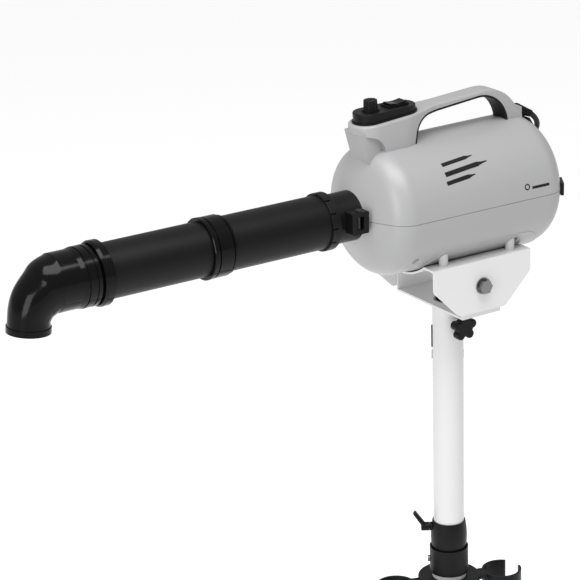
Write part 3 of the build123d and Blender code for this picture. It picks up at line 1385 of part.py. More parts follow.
# Leg: a folded channel, open underneath, with a boss for its bolt and one for its caster.
leg_angles = [LEG_FIRST_ANGLE + 360 / LEG_COUNT * number for number in range(LEG_COUNT)]
with BuildPart() as leg_form:
    for wall, mode in ((0, Mode.ADD), (LEG_WALL, Mode.SUBTRACT)):
        for reach, size in ((HUB_R - HUB_SHOULDER, LEG_ROOT), (LEG_REACH, LEG_TIP)):
            with BuildSketch(Plane(origin=(reach, 0, LEG_BOTTOM_Z), x_dir=(0, 1, 0), z_dir=(1, 0, 0))):
                with Locations((0, (size[1] - wall) / 2)):
                    Rectangle(size[0] - 2 * wall, size[1] - wall)
        loft(mode=mode)
    with BuildSketch(Plane.XY.offset(LEG_BOTTOM_Z)):
        with Locations((LEG_BOLT_REACH, 0)):
            Circle(LEG_BOLT_BOSS[0])
    extrude(amount=LEG_BOLT_BOSS[1])
    with BuildSketch(Plane.XY.offset(LEG_BOTTOM_Z)):
        with Locations((LEG_REACH, 0)):
            Circle(LEG_BOSS_R)
    extrude(amount=LEG_TIP[1] + 2)
    with BuildSketch(Plane.XY.offset(LEG_BOTTOM_Z)):
        Circle(HUB_R)
    extrude(amount=HUB_TOP_Z, mode=Mode.SUBTRACT)
    with BuildSketch(Plane.XY.offset(LEG_BOTTOM_Z)):
        with Locations((LEG_REACH, 0)):
            Circle(CASTER_STEM_R + FIT)
        with Locations((LEG_BOLT_REACH, 0)):
            Circle(LEG_BOLT_R)
    extrude(amount=CASTER_STEM + 1, mode=Mode.SUBTRACT)

with BuildPart() as base_legs:
    with PolarLocations(0, LEG_COUNT, start_angle=LEG_FIRST_ANGLE):
        add(leg_form.part)
save(base_legs, "base_legs")

# Bolts up through the hub's flange into the legs.
with BuildPart() as leg_bolts:
    with BuildSketch(Plane.XY.offset(LEG_BOTTOM_Z - HUB_FLANGE)):
        with PolarLocations(LEG_BOLT_REACH, LEG_COUNT, start_angle=LEG_FIRST_ANGLE):
            Circle(LEG_BOLT_HEAD_R)
    extrude(amount=-LEG_BOLT_HEAD)
    with BuildSketch(Plane.XY.offset(LEG_BOTTOM_Z - HUB_FLANGE)):
        with PolarLocations(LEG_BOLT_REACH, LEG_COUNT, start_angle=LEG_FIRST_ANGLE):
            Circle(LEG_BOLT_R)
    extrude(amount=LEG_BOLT_LENGTH)
save(leg_bolts, "leg_bolts")

# Caster: a fork with its stem and axle, and a dished wheel on the axle.
cheek_inner = WHEEL_HALF_WIDTH + WHEEL_SIDE_GAP
with BuildPart() as fork_form:
    with BuildSketch(Plane.XZ):
        with BuildLine():
            Polyline(
                (FORK_HALF_LENGTH, FORK_PLATE_Z[1]),
                (FORK_HALF_LENGTH, FORK_PLATE_Z[0]),
                (CASTER_TRAIL + FORK_HALF_LENGTH, WHEEL_R),
                (CASTER_TRAIL, WHEEL_R - FORK_HALF_LENGTH),
                (CASTER_TRAIL - FORK_HALF_LENGTH, WHEEL_R),
                (-FORK_HALF_LENGTH - 2, FORK_PLATE_Z[0]),
                (-FORK_HALF_LENGTH - 2, FORK_PLATE_Z[1]),
                close=True,
            )
        make_face()
    extrude(amount=cheek_inner + FORK_WALL, both=True)
    with BuildSketch(Plane.XZ):
        with Locations((CASTER_TRAIL / 2, FORK_PLATE_Z[0] / 2)):
            Rectangle(8 * FORK_HALF_LENGTH, FORK_PLATE_Z[0])
    extrude(amount=cheek_inner, both=True, mode=Mode.SUBTRACT)
    with BuildSketch(Plane.XZ):
        with Locations((CASTER_TRAIL, WHEEL_R)):
            Circle(AXLE_R)
    extrude(amount=cheek_inner + FORK_WALL + 1, both=True)
    with BuildSketch(Plane.XY.offset(FORK_PLATE_Z[1])):
        Circle(CASTER_NECK_R)
    extrude(amount=LEG_BOTTOM_Z - GAP - FORK_PLATE_Z[1])
    with BuildSketch(Plane.XY.offset(FORK_PLATE_Z[1])):
        Circle(CASTER_STEM_R)
    extrude(amount=LEG_BOTTOM_Z - FORK_PLATE_Z[1] + CASTER_STEM)

with BuildPart() as wheel_form:
    with BuildSketch(Plane.XZ):
        with Locations((CASTER_TRAIL, WHEEL_R)):
            Circle(WHEEL_R)
    extrude(amount=WHEEL_HALF_WIDTH, both=True)
    rims = wheel_form.edges().filter_by(GeomType.CIRCLE)
    fillet(rims, WHEEL_EDGE)
    for side in (-1, 1):
        with BuildSketch(Plane.XZ.offset(side * WHEEL_HALF_WIDTH)):
            with Locations((CASTER_TRAIL, WHEEL_R)):
                Circle(WHEEL_DISH[0])
                Circle(WHEEL_DISH[1], mode=Mode.SUBTRACT)
        extrude(amount=-side * WHEEL_DISH[2], mode=Mode.SUBTRACT)
    with BuildSketch(Plane.XZ):
        with Locations((CASTER_TRAIL, WHEEL_R)):
            Circle(AXLE_R + FIT)
    extrude(amount=WHEEL_HALF_WIDTH, both=True, mode=Mode.SUBTRACT)

for number, angle in enumerate(leg_angles, start=1):
    stem = (LEG_REACH * cos(radians(angle)), LEG_REACH * sin(radians(angle)), 0)
    with BuildPart() as caster_fork:
        with Locations(stem):
            add(fork_form.part)
    save(caster_fork, f"caster_fork_{number}")
    with BuildPart() as caster_wheel:
        with Locations(stem):
            add(wheel_form.part)
    save(caster_wheel, f"caster_wheel_{number}")

# ---------------------------------------------------------------- mains lead
# Strain relief in the block behind the grip.
gland_dir = Vector(cos(radians(GLAND_DROP)), 0, -sin(radians(GLAND_DROP)))
gland_root = Vector(LEAD_BLOCK_REAR_X, 0, level(GLAND_Z))
gland_plane = Plane(origin=gland_root, x_dir=(0, 1, 0), z_dir=gland_dir)
with BuildPart() as lead_gland:
    with BuildSketch(Plane(origin=gland_root, x_dir=(0, 1, 0), z_dir=(1, 0, 0))):
        Circle(GLAND_NECK_R)
    extrude(amount=-GLAND_NECK + 1)
    with BuildSketch(Plane(origin=gland_root, x_dir=(0, 1, 0), z_dir=(1, 0, 0))):
        Circle(GLAND_START_R + 1)
    extrude(amount=GLAND_COLLAR)
    with BuildSketch(gland_plane.offset(GLAND_CONE_START)):
        Circle(GLAND_START_R)
    with BuildSketch(gland_plane.offset(GLAND_LENGTH)):
        Circle(GLAND_END_R)
    loft()
save(lead_gland, "lead_gland")


def bend_radii(points):
    """Largest tangent arc for each corner of a route: 0.45 of its shorter run."""
    radii = []
    for before, corner, after in zip(points, points[1:], points[2:]):
        run_in = Vector(*corner) - Vector(*before)
        run_out = Vector(*after) - Vector(*corner)
        half_turn = radians(run_in.get_angle(run_out)) / 2
        radii.append(0.45 * min(run_in.length, run_out.length) / tan(half_turn))
    return radii


def lead_piece(points):
    """Round lead along a route of straight runs and tangent arcs."""
    with BuildPart() as lead:
        with BuildLine() as route:
            middle = FilletPolyline(*points, radius=bend_radii(points))
        with BuildSketch(Plane(origin=middle @ 0, z_dir=middle % 0)):
            Circle(LEAD_R)
        sweep()
    return lead, middle.length


# The lead runs in one piece for each body that carries it, then lies in a coil on the floor.
gland_end = gland_root + gland_dir * GLAND_LENGTH
case_route = [
    (gland_end.X, gland_end.Y, gland_end.Z),
    (160.0, 2.0, level(82.0)),
    (171.0, 12.0, level(64.0)),
    (174.0, 30.0, level(44.0)),
    (171.0, 58.0, level(27.0)),
    (156.0, 88.0, level(7.0)),
    (128.0, 110.0, level(-16.0)),
    (92.0, 113.0, level(-46.0)),
    (62.0, 110.0, level(-74.0)),
    (34.0, 106.5, level(-98.0)),
    (11.0, 105.0, level(-112.0)),
]
head_route = [
    (3.5, 104.5, level(-127.0)),
    (2.0, 101.5, level(-143.0)),
    (5.0, 94.0, level(-160.0)),
    (14.0, 80.0, level(-177.0)),
    (21.0, 65.0, level(-189.0)),
]
mast_route = [
    (24.5, 57.5, level(-194.5)),
    (28.0, 49.0, level(-206.0)),
    (29.2, 43.4, level(-226.0)),
    (29.2, 43.0, level(-252.0)),
    (31.0, 46.0, level(-292.0)),
    (29.5, 48.0, level(-352.0)),
    (32.0, 45.5, level(-418.0)),
    (30.0, 47.0, level(-496.0)),
]
stand_route = [
    (38.0, 54.5, level(-503.0)),
    (37.0, 58.0, 560.0),
    (40.0, 56.0, 462.0),
    (37.0, 59.0, 362.0),
    (40.5, 58.0, 262.0),
    (43.0, 62.0, 172.0),
    (50.0, 72.0, 106.0),
    (56.0, 84.0, 52.0),
    (66.0, 99.0, 17.0),
    (80.0, 117.0, 4.2),
    (93.0, 138.0, 4.0),
    (102.0, 151.0, 4.0),
]
coil_exit = Vector(COIL_CENTRE[0] + 44.0, COIL_CENTRE[1] + 10.0, 16.0)
plug_dir = Vector(-0.26, 0.9656, 0)
plug_end = Vector(105.5, 224.0, PLUG_R)
tail_route = [
    (coil_exit.X, coil_exit.Y, coil_exit.Z),
    (110.0, 209.0, 17.4),
    (plug_end.X, plug_end.Y, plug_end.Z),
]
lead_total = 0.0
lead_parts = {}
routes = {
    "lead_on_case": case_route,
    "lead_on_head": head_route,
    "lead_on_pole": mast_route,
    "lead_on_stand": stand_route,
    "lead_tail": tail_route,
}
for name, route in routes.items():
    piece, length = lead_piece(route)
    lead_parts[name] = piece
    lead_total += length
    section = pi * LEAD_R**2
    print(name, "length", round(length, 1), "volume ratio", round(piece.part.volume / section / length, 4))
    print("  radii", [round(radius, 1) for radius in bend_radii(route)])
    save(piece, name)

# Coil of the lead's spare length, as one ring.
coil_mean = (COIL_INNER_R + COIL_OUTER_R) / 2
coil_length = 2 * pi * coil_mean * COIL_TURNS
print("coil length", round(coil_length, 1), "lead total", round(lead_total + coil_length, 1))
with BuildPart() as lead_coil:
    with BuildSketch(Plane.XZ):
        with Locations((coil_mean, COIL_HEIGHT / 2)):
            RectangleRounded(COIL_OUTER_R - COIL_INNER_R, COIL_HEIGHT, LEAD_R)
    coil_ring = revolve(axis=Axis.Z, mode=Mode.PRIVATE)
    with Locations((COIL_CENTRE[0], COIL_CENTRE[1], 0)):
        add(coil_ring)
save(lead_coil, "lead_coil")

# Mains plug with two round pins, lying beside the coil.
with BuildPart() as mains_plug:
    with BuildSketch(Plane(origin=plug_end, x_dir=(0, 0, 1), z_dir=plug_dir)):
        Circle(PLUG_RELIEF_R[0])
    relief_end = plug_end + plug_dir * PLUG_RELIEF
    with BuildSketch(Plane(origin=relief_end, x_dir=(0, 0, 1), z_dir=plug_dir)):
        Circle(PLUG_RELIEF_R[1])
    loft()
    with BuildSketch(Plane(origin=relief_end, x_dir=(0, 0, 1), z_dir=plug_dir)):
        Circle(PLUG_R)
    extrude(amount=PLUG_BODY)
    body_rims = mains_plug.edges().filter_by(GeomType.CIRCLE)
    body_rims = body_rims.filter_by(lambda rim: abs(rim.radius - PLUG_R) < 0.1)
    fillet(body_rims, PLUG_EDGE)
    with BuildSketch(Plane(origin=relief_end + plug_dir * PLUG_BODY, x_dir=(0, 0, 1), z_dir=plug_dir)):
        with Locations((0, -PLUG_PIN_SPREAD / 2), (0, PLUG_PIN_SPREAD / 2)):
            Circle(PLUG_PIN_R)
    extrude(amount=PLUG_PIN)
save(mains_plug, "mains_plug")

# Clip that holds the lead: a saddle glued to the back of the upper pole, an arm and an open eye.
with BuildPart() as lead_clip:
    with BuildSketch(Plane.XY.offset(level(CLIP_Z) - 0.75 * CLIP_LENGTH)):
        Circle(MAST_R + CLIP_BAND)
        Circle(MAST_R, mode=Mode.SUBTRACT)
        with Locations(Location((0, 0), LEAD_ANGLE)):
            with Locations(((MAST_R + CLIP_REACH) / 2, 0)):
                Rectangle(CLIP_REACH - MAST_R, CLIP_ARM)
        with Locations(CLIP_EYE):
            Circle(LEAD_R + CLIP_EYE_ROOM + CLIP_EYE_WALL)
            Circle(LEAD_R + CLIP_EYE_ROOM, mode=Mode.SUBTRACT)
        Circle(MAST_R, mode=Mode.SUBTRACT)
        with Locations(Location((0, 0), LEAD_ANGLE)):
            with Locations((CLIP_SADDLE - 2 * MAST_R, 0)):
                Rectangle(4 * MAST_R, 4 * MAST_R, mode=Mode.SUBTRACT)
    extrude(amount=CLIP_LENGTH)
save(lead_clip, "lead_clip")

# Slotted strip that the star knob's band hangs from, screwed to the side of the upper pole.
with BuildPart() as hook_strip:
    with BuildSketch(radial(LEVER_ANGLE, MAST_R, level(HOOK_Z))):
        SlotOverall(HOOK_STRIP[0], HOOK_STRIP[1], rotation=90)
        with Locations((0, -HOOK_HOLE_DROP)):
            Circle(HOOK_HOLE_R, mode=Mode.SUBTRACT)
        with Locations((0, HOOK_SLOT_RISE)):
            SlotOverall(HOOK_SLOT[0], HOOK_SLOT[1], rotation=90, mode=Mode.SUBTRACT)
    extrude(amount=HOOK_STRIP[2])
save(hook_strip, "hook_strip")
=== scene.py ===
from math import cos, pi, radians, sin

import bpy
from mathutils import Matrix, Vector


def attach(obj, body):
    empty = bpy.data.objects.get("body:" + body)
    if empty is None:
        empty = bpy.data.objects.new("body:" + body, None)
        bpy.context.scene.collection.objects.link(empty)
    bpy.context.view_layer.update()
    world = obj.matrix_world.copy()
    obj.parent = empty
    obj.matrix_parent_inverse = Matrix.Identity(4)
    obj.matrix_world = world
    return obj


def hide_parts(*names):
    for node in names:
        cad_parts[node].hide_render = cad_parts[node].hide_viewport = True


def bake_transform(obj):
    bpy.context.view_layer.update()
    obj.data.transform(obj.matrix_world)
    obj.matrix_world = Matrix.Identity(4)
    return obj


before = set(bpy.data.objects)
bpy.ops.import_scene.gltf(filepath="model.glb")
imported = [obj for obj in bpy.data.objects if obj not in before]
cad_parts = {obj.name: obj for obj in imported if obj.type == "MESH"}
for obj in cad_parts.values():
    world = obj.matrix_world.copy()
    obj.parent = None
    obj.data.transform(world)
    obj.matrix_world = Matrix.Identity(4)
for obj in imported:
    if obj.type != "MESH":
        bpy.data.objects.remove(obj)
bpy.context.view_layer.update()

# ---------------------------------------------------------------- camera
# A long lens a little above the blower, looking down at it from its outlet side.
# The sensor is shifted so that the blower and its tube sit high in the frame.
SENSOR = 0.036
LENS = 0.1515
SHIFT = (-0.0657, -0.0134)
CAMERA_PLACE = (-1.95305, -2.63395, 2.17649)
PITCH, YAW, ROLL = radians(19.438), radians(33.583), radians(1.272)
ahead = Vector((sin(YAW) * cos(PITCH), cos(YAW) * cos(PITCH), -sin(PITCH)))
level_right = Vector((cos(YAW), -sin(YAW), 0))
level_down = Vector((-sin(PITCH) * sin(YAW), -sin(PITCH) * cos(YAW), -cos(PITCH)))
image_right = cos(ROLL) * level_right + sin(ROLL) * level_down
image_down = cos(ROLL) * level_down - sin(ROLL) * level_right
camera_data = bpy.data.cameras.new("studio_camera")
camera_data.sensor_width = SENSOR * 1000
camera_data.lens = LENS * 1000
camera_data.shift_x, camera_data.shift_y = SHIFT
camera = bpy.data.objects.new("studio_camera", camera_data)
bpy.context.collection.objects.link(camera)
turn = Matrix((image_right, -image_down, -ahead)).transposed().to_4x4()
camera.matrix_world = Matrix.Translation(CAMERA_PLACE) @ turn
bpy.context.scene.camera = camera


# ---------------------------------------------------------------- mains lead
# Black rubber-sheathed three-core lead. It leaves the back of the case through a strain
# relief, drops past the bracket, is clipped to the upper pole, follows the lower pole to
# the floor and ends in a neat tied coil with its plug.
LEAD_R = 0.004


def make_group(name, inputs, outputs):
    """A shader node group with named sockets; returns it with its input and output nodes."""
    group = bpy.data.node_groups.new(name, "ShaderNodeTree")
    for label, kind, value in inputs:
        socket = group.interface.new_socket(label, in_out="INPUT", socket_type=kind)
        if value is not None:
            socket.default_value = value
    for label, kind in outputs:
        group.interface.new_socket(label, in_out="OUTPUT", socket_type=kind)
    return group, group.nodes.new("NodeGroupInput"), group.nodes.new("NodeGroupOutput")


# Fine grain of a moulded or sprayed skin, with slow colour drift and settled dust.
skin, skin_in, skin_out = make_group(
    "moulded_skin",
    [
        ("Colour", "NodeSocketColor", (0.5, 0.5, 0.5, 1)),
        ("Dust", "NodeSocketColor", (0.5, 0.5, 0.5, 1)),
        ("Grain Scale", "NodeSocketFloat", 2500.0),
        ("Dust Amount", "NodeSocketFloat", 0.05),
        ("Roughness", "NodeSocketFloat", 0.4),
        ("Roughness Drift", "NodeSocketFloat", 0.08),
    ],
    [
        ("Colour", "NodeSocketColor"),
        ("Roughness", "NodeSocketFloat"),
        ("Height", "NodeSocketFloat"),
    ],
)
skin_place = skin.nodes.new("ShaderNodeTexCoord")
grain = skin.nodes.new("ShaderNodeTexNoise")
grain.inputs["Detail"].default_value = 3
grain.inputs["Roughness"].default_value = 0.6
drift = skin.nodes.new("ShaderNodeTexNoise")
drift.inputs["Scale"].default_value = 9
drift.inputs["Detail"].default_value = 4
surface_turn = skin.nodes.new("ShaderNodeNewGeometry")
upward = skin.nodes.new("ShaderNodeSeparateXYZ")
settled = skin.nodes.new("ShaderNodeMapRange")
settled.inputs["From Min"].default_value = 0.2
settled.inputs["From Max"].default_value = 1.0
settled.clamp = True
dust_mask = skin.nodes.new("ShaderNodeMath")
dust_mask.operation = "MULTIPLY"
dust_share = skin.nodes.new("ShaderNodeMath")
dust_share.operation = "MULTIPLY"
dusted = skin.nodes.new("ShaderNodeMix")
dusted.data_type = "RGBA"
rough_span = skin.nodes.new("ShaderNodeMath")
rough_span.operation = "SUBTRACT"
rough_span.inputs[1].default_value = 0.5
rough_scaled = skin.nodes.new("ShaderNodeMath")
rough_scaled.operation = "MULTIPLY"
rough_sum = skin.nodes.new("ShaderNodeMath")
rough_sum.operation = "ADD"
rough_sum.use_clamp = True
join = skin.links.new
join(skin_place.outputs["Object"], grain.inputs["Vector"])
join(skin_in.outputs["Grain Scale"], grain.inputs["Scale"])
join(skin_place.outputs["Object"], drift.inputs["Vector"])
join(surface_turn.outputs["Normal"], upward.inputs["Vector"])
join(upward.outputs["Z"], settled.inputs["Value"])
join(settled.outputs["Result"], dust_mask.inputs[0])
join(drift.outputs["Fac"], dust_mask.inputs[1])
join(dust_mask.outputs["Value"], dust_share.inputs[0])
join(skin_in.outputs["Dust Amount"], dust_share.inputs[1])
join(dust_share.outputs["Value"], dusted.inputs["Factor"])
join(skin_in.outputs["Colour"], dusted.inputs["A"])
join(skin_in.outputs["Dust"], dusted.inputs["B"])
join(dusted.outputs["Result"], skin_out.inputs["Colour"])
join(drift.outputs["Fac"], rough_span.inputs[0])
join(rough_span.outputs["Value"], rough_scaled.inputs[0])
join(skin_in.outputs["Roughness Drift"], rough_scaled.inputs[1])
join(rough_scaled.outputs["Value"], rough_sum.inputs[0])
join(skin_in.outputs["Roughness"], rough_sum.inputs[1])
join(rough_sum.outputs["Value"], skin_out.inputs["Roughness"])
join(grain.outputs["Fac"], skin_out.inputs["Height"])


def skinned_finish(name, colour, dust, grain_scale, dust_amount, roughness, drift_amount, bump, coat=0.0):
    """Material of one moulded or sprayed skin, with its own colour, grain and sheen."""
    finish = bpy.data.materials.new(name)
    finish.use_nodes = True
    nodes, link = finish.node_tree.nodes, finish.node_tree.links.new
    shader = nodes["Principled BSDF"]
    surface = nodes.new("ShaderNodeGroup")
    surface.node_tree = skin
    surface.inputs["Colour"].default_value = (*colour, 1)
    surface.inputs["Dust"].default_value = (*dust, 1)
    surface.inputs["Grain Scale"].default_value = grain_scale
    surface.inputs["Dust Amount"].default_value = dust_amount
    surface.inputs["Roughness"].default_value = roughness
    surface.inputs["Roughness Drift"].default_value = drift_amount
    relief = nodes.new("ShaderNodeBump")
    relief.inputs["Distance"].default_value = bump
    relief.inputs["Strength"].default_value = 0.6
    link(surface.outputs["Colour"], shader.inputs["Base Color"])
    link(surface.outputs["Roughness"], shader.inputs["Roughness"])
    link(surface.outputs["Height"], relief.inputs["Height"])
    link(relief.outputs["Normal"], shader.inputs["Normal"])
    shader.inputs["Specular IOR Level"].default_value = 0.5 if max(colour) > 0.1 else 0.16
    shader.inputs["Coat Weight"].default_value = coat
    shader.inputs["Coat Roughness"].default_value = 0.12
    return finish


HOUSE_DUST = (0.42, 0.41, 0.39)
LEAD_BLACK = (0.006, 0.006, 0.006)
lead_rubber = skinned_finish("lead_rubber", LEAD_BLACK, HOUSE_DUST, 2600, 0.02, 0.46, 0.12, 0.0002)

# The route's points, from the strain relief to the coil.
ROUTE = [
    (0.1476, 0.0, 1.2406), (0.160, 0.002, 1.232), (0.171, 0.012, 1.214),
    (0.174, 0.030, 1.194), (0.171, 0.058, 1.177), (0.156, 0.088, 1.157),
    (0.128, 0.110, 1.134), (0.092, 0.113, 1.104), (0.062, 0.110, 1.076),
    (0.034, 0.1065, 1.052), (0.011, 0.105, 1.038), (0.0035, 0.1045, 1.023),
    (0.002, 0.1015, 1.007), (0.005, 0.094, 0.990), (0.014, 0.080, 0.973),
    (0.021, 0.065, 0.961), (0.0245, 0.0575, 0.9555), (0.028, 0.049, 0.944),
    (0.0292, 0.0434, 0.924), (0.0292, 0.043, 0.898), (0.031, 0.046, 0.858),
    (0.0295, 0.048, 0.798), (0.032, 0.0455, 0.732), (0.030, 0.047, 0.654),
    (0.034, 0.0525, 0.610), (0.037, 0.058, 0.560), (0.040, 0.056, 0.462),
    (0.037, 0.059, 0.362), (0.0405, 0.058, 0.262), (0.043, 0.062, 0.172),
    (0.050, 0.072, 0.106), (0.056, 0.084, 0.052), (0.066, 0.099, 0.017),
    (0.080, 0.117, 0.0042), (0.093, 0.138, 0.004), (0.102, 0.151, 0.004),
]
ON_HEAD = Vector((0.005, 0.094, 0.990))
ON_MAST = Vector((0.0292, 0.043, 0.898))
ON_STAND = Vector((0.043, 0.062, 0.172))
COIL_CENTRE = Vector((0.066, 0.184, 0))
COIL_INNER, COIL_OUTER = 0.040, 0.048
COIL_LAY = [
    (COIL_OUTER, 0.004), (COIL_INNER, 0.004), (COIL_INNER, 0.012),
    (COIL_OUTER, 0.012), (COIL_INNER, 0.020), (COIL_OUTER, 0.020),
]
COIL_START, COIL_STOP = -31.0, 5.0
TURN_POINTS = 18
STAGGER = 30.0
STEP_ANGLE = 150.0
TAIL = [(0.110, 0.200, 0.0185), (0.1085, 0.212, 0.018), (0.1055, 0.224, 0.018)]


def coil_points():
    """The coil's turns, wound from one lay to the next, with a long easy step between them."""
    points = []
    angle = COIL_START
    span = 360 - STAGGER
    last = len(COIL_LAY) - 1
    while angle < COIL_STOP + 360 * len(COIL_LAY):
        wound = angle - COIL_START
        turn_now = min(int(wound / span), last)
        left = span * (turn_now + 1) - wound
        share = 0.0
        if turn_now < last and left < STEP_ANGLE:
            share = 0.5 + 0.5 * cos(pi * left / STEP_ANGLE)
        now = COIL_LAY[turn_now]
        then = COIL_LAY[min(turn_now + 1, last)]
        radius = now[0] + share * (then[0] - now[0])
        height = now[1] + share * (then[1] - now[1])
        around = Vector((cos(radians(angle)), sin(radians(angle)), 0))
        points.append(COIL_CENTRE + around * radius + Vector((0, 0, height)))
        angle += 360 / TURN_POINTS
    return points


def nurbs_line(points):
    """Points along the smooth NURBS line that has these control points."""
    curve = bpy.data.curves.new("route", "CURVE")
    curve.dimensions = "3D"
    curve.resolution_u = 10
    spline = curve.splines.new("NURBS")
    spline.points.add(len(points) - 1)
    for knot, place in zip(spline.points, points):
        knot.co = (*place, 1)
    spline.order_u = 3
    spline.use_endpoint_u = True
    holder = bpy.data.objects.new("route", curve)
    bpy.context.collection.objects.link(holder)
    bpy.context.view_layer.update()
    mesh = bpy.data.meshes.new_from_object(holder)
    line = [vertex.co.copy() for vertex in mesh.vertices]
    bpy.data.objects.remove(holder)
    return line


def tube_along(name, line, radius, material):
    """Round tube that follows a line, as a mesh with smooth sides and closed ends."""
    curve = bpy.data.curves.new(name, "CURVE")
    curve.dimensions = "3D"
    curve.bevel_depth = radius
    curve.bevel_resolution = 3
    curve.use_fill_caps = True
    spline = curve.splines.new("POLY")
    spline.points.add(len(line) - 1)
    for knot, place in zip(spline.points, line):
        knot.co = (*place, 1)
    holder = bpy.data.objects.new(name, curve)
    bpy.context.collection.objects.link(holder)
    bpy.context.view_layer.update()
    mesh = bpy.data.meshes.new_from_object(holder)
    bpy.data.objects.remove(holder)
    mesh.name = name
    mesh.materials.clear()
    mesh.materials.append(material)
    mesh.shade_smooth()
    piece = bpy.data.objects.new(name, mesh)
    bpy.context.collection.objects.link(piece)
    return piece


def nearest(line, place):
    """Index of the line's point nearest to a place."""
    return min(range(len(line)), key=lambda i: (line[i] - place).length)


whole_line = nurbs_line([*map(Vector, ROUTE), *coil_points(), *map(Vector, TAIL)])
head_cut = nearest(whole_line, ON_HEAD)
mast_cut = nearest(whole_line, ON_MAST)
stand_cut = nearest(whole_line, ON_STAND)
case_line = whole_line[: head_cut + 1]
head_line = whole_line[head_cut : mast_cut + 1]
mast_line = whole_line[mast_cut : stand_cut + 1]
floor_line = whole_line[stand_cut:]

lead_case = tube_along("lead_from_case", case_line, LEAD_R, lead_rubber)
lead_head = tube_along("lead_past_bracket", head_line, LEAD_R, lead_rubber)
lead_mast = tube_along("lead_down_pole", mast_line, LEAD_R, lead_rubber)
lead_floor = tube_along("lead_coil_and_tail", floor_line, LEAD_R, lead_rubber)
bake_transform(lead_case)
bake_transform(lead_head)
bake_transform(lead_mast)
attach(lead_floor, "stand")
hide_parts("lead_on_case")
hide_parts("lead_on_head")
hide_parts("lead_on_pole")
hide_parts("lead_on_stand", "lead_coil", "lead_tail")

# ---------------------------------------------------------------- strain relief
# Tapered ribbed sleeve of soft black rubber, moulded on the lead where it leaves the
# block behind the grip. Its grooves let it bend with the lead.
RELIEF_ROOT = Vector((0.1205, 0, 1.2526))
RELIEF_DIR = Vector((0.9135, 0, -0.4067))
RELIEF_LENGTH = 0.031
RELIEF_RIBS = 6
RELIEF_GROOVE = 0.0013
RELIEF_FLANGE_R = 0.0080
RELIEF_RIB_R = (0.0074, 0.0053)
RELIEF_FIRST_RIB = 0.0055
RELIEF_LIP = 0.0015


def ringed_piece(name, place, direction, rings, material, sides=40):
    """Turned piece on a place, along a direction, extruded ring by ring from (height, radius)."""
    bpy.ops.object.select_all(action="DESELECT")
    bpy.ops.mesh.primitive_circle_add(vertices=sides, radius=rings[0][1], fill_type="NGON")
    piece = bpy.context.object
    piece.name = name
    bpy.ops.object.mode_set(mode="EDIT")
    bpy.ops.mesh.select_all(action="SELECT")
    for (low, wide), (high, narrow) in zip(rings, rings[1:]):
        bpy.ops.mesh.extrude_region_move(TRANSFORM_OT_translate={"value": (0, 0, high - low)})
        bpy.ops.transform.resize(value=(narrow / wide, narrow / wide, 1))
    bpy.ops.mesh.select_all(action="SELECT")
    bpy.ops.mesh.normals_make_consistent(inside=False)
    bpy.ops.object.mode_set(mode="OBJECT")
    stand_up = direction.to_track_quat("Z", "Y").to_matrix().to_4x4()
    piece.matrix_world = Matrix.Translation(place) @ stand_up
    bpy.ops.object.transform_apply(location=True, rotation=True, scale=True)
    bpy.ops.object.shade_smooth_by_angle(angle=radians(40))
    piece.data.materials.append(material)
    return piece


relief_rings = [(0.0, RELIEF_FLANGE_R), (0.0045, RELIEF_FLANGE_R), (0.0050, RELIEF_RIB_R[0])]
rib_pitch = (RELIEF_LENGTH - RELIEF_FIRST_RIB - RELIEF_LIP) / RELIEF_RIBS
for rib in range(RELIEF_RIBS):
    rib_start = RELIEF_FIRST_RIB + rib * rib_pitch
    rib_r = RELIEF_RIB_R[0] + (RELIEF_RIB_R[1] - RELIEF_RIB_R[0]) * rib / (RELIEF_RIBS - 1)
    groove_r = rib_r - RELIEF_GROOVE
    relief_rings += [
        (rib_start, groove_r),
        (rib_start + 0.35 * rib_pitch, groove_r),
        (rib_start + 0.45 * rib_pitch, rib_r),
        (rib_start + 0.90 * rib_pitch, rib_r),
    ]
relief_rings += [(RELIEF_LENGTH - 0.0008, 0.0050), (RELIEF_LENGTH, 0.0044)]
strain_relief = ringed_piece("strain_relief", RELIEF_ROOT, RELIEF_DIR, relief_rings, lead_rubber)
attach(strain_relief, "blower")
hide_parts("lead_gland")

# ---------------------------------------------------------------- coil tie
# Flat strap of soft black nylon pulled tight round one side of the coil, so that the
# spare lead stays together on the floor.
TIE_R = 0.0112
TIE_THICK_R = 0.0006
TIE_SHAPE = (0.78, 6.0, 1.0)
TIE_PLACE = (COIL_CENTRE.x - (COIL_INNER + COIL_OUTER) / 2, COIL_CENTRE.y, 0.012)
bpy.ops.object.select_all(action="DESELECT")
bpy.ops.mesh.primitive_torus_add(
    location=TIE_PLACE,
    rotation=(pi / 2, 0, 0),
    major_segments=40,
    minor_segments=10,
    major_radius=TIE_R,
    minor_radius=TIE_THICK_R,
)
coil_tie = bpy.context.object
coil_tie.name = "coil_tie"
bpy.ops.object.mode_set(mode="EDIT")
bpy.ops.mesh.select_all(action="SELECT")
bpy.ops.transform.resize(value=TIE_SHAPE)
bpy.ops.object.mode_set(mode="OBJECT")
bpy.ops.object.transform_apply(location=True, rotation=True, scale=True)
bpy.ops.object.shade_smooth()
coil_tie.data.materials.append(lead_rubber)
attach(coil_tie, "stand")

# ---------------------------------------------------------------- poles, legs and bracket
# Steel tube and pressed steel sheet, sprayed with white powder coat and baked. The legs
# are folded channels bolted to the hub.


def finish_nodes(material, *names):
    """Gives CAD nodes their finish."""
    for name in names:
        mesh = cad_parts[name].data
        mesh.materials.clear()
        mesh.materials.append(material)


COAT_WHITE = (0.64, 0.64, 0.64)
white_coat = skinned_finish(
    "white_powder_coat", COAT_WHITE, HOUSE_DUST, 900, 0.05, 0.34, 0.10, 0.00018, 0.15
)
finish_nodes(white_coat, "base_legs", "lower_pole", "upper_pole", "saddle", "tilt_bracket")

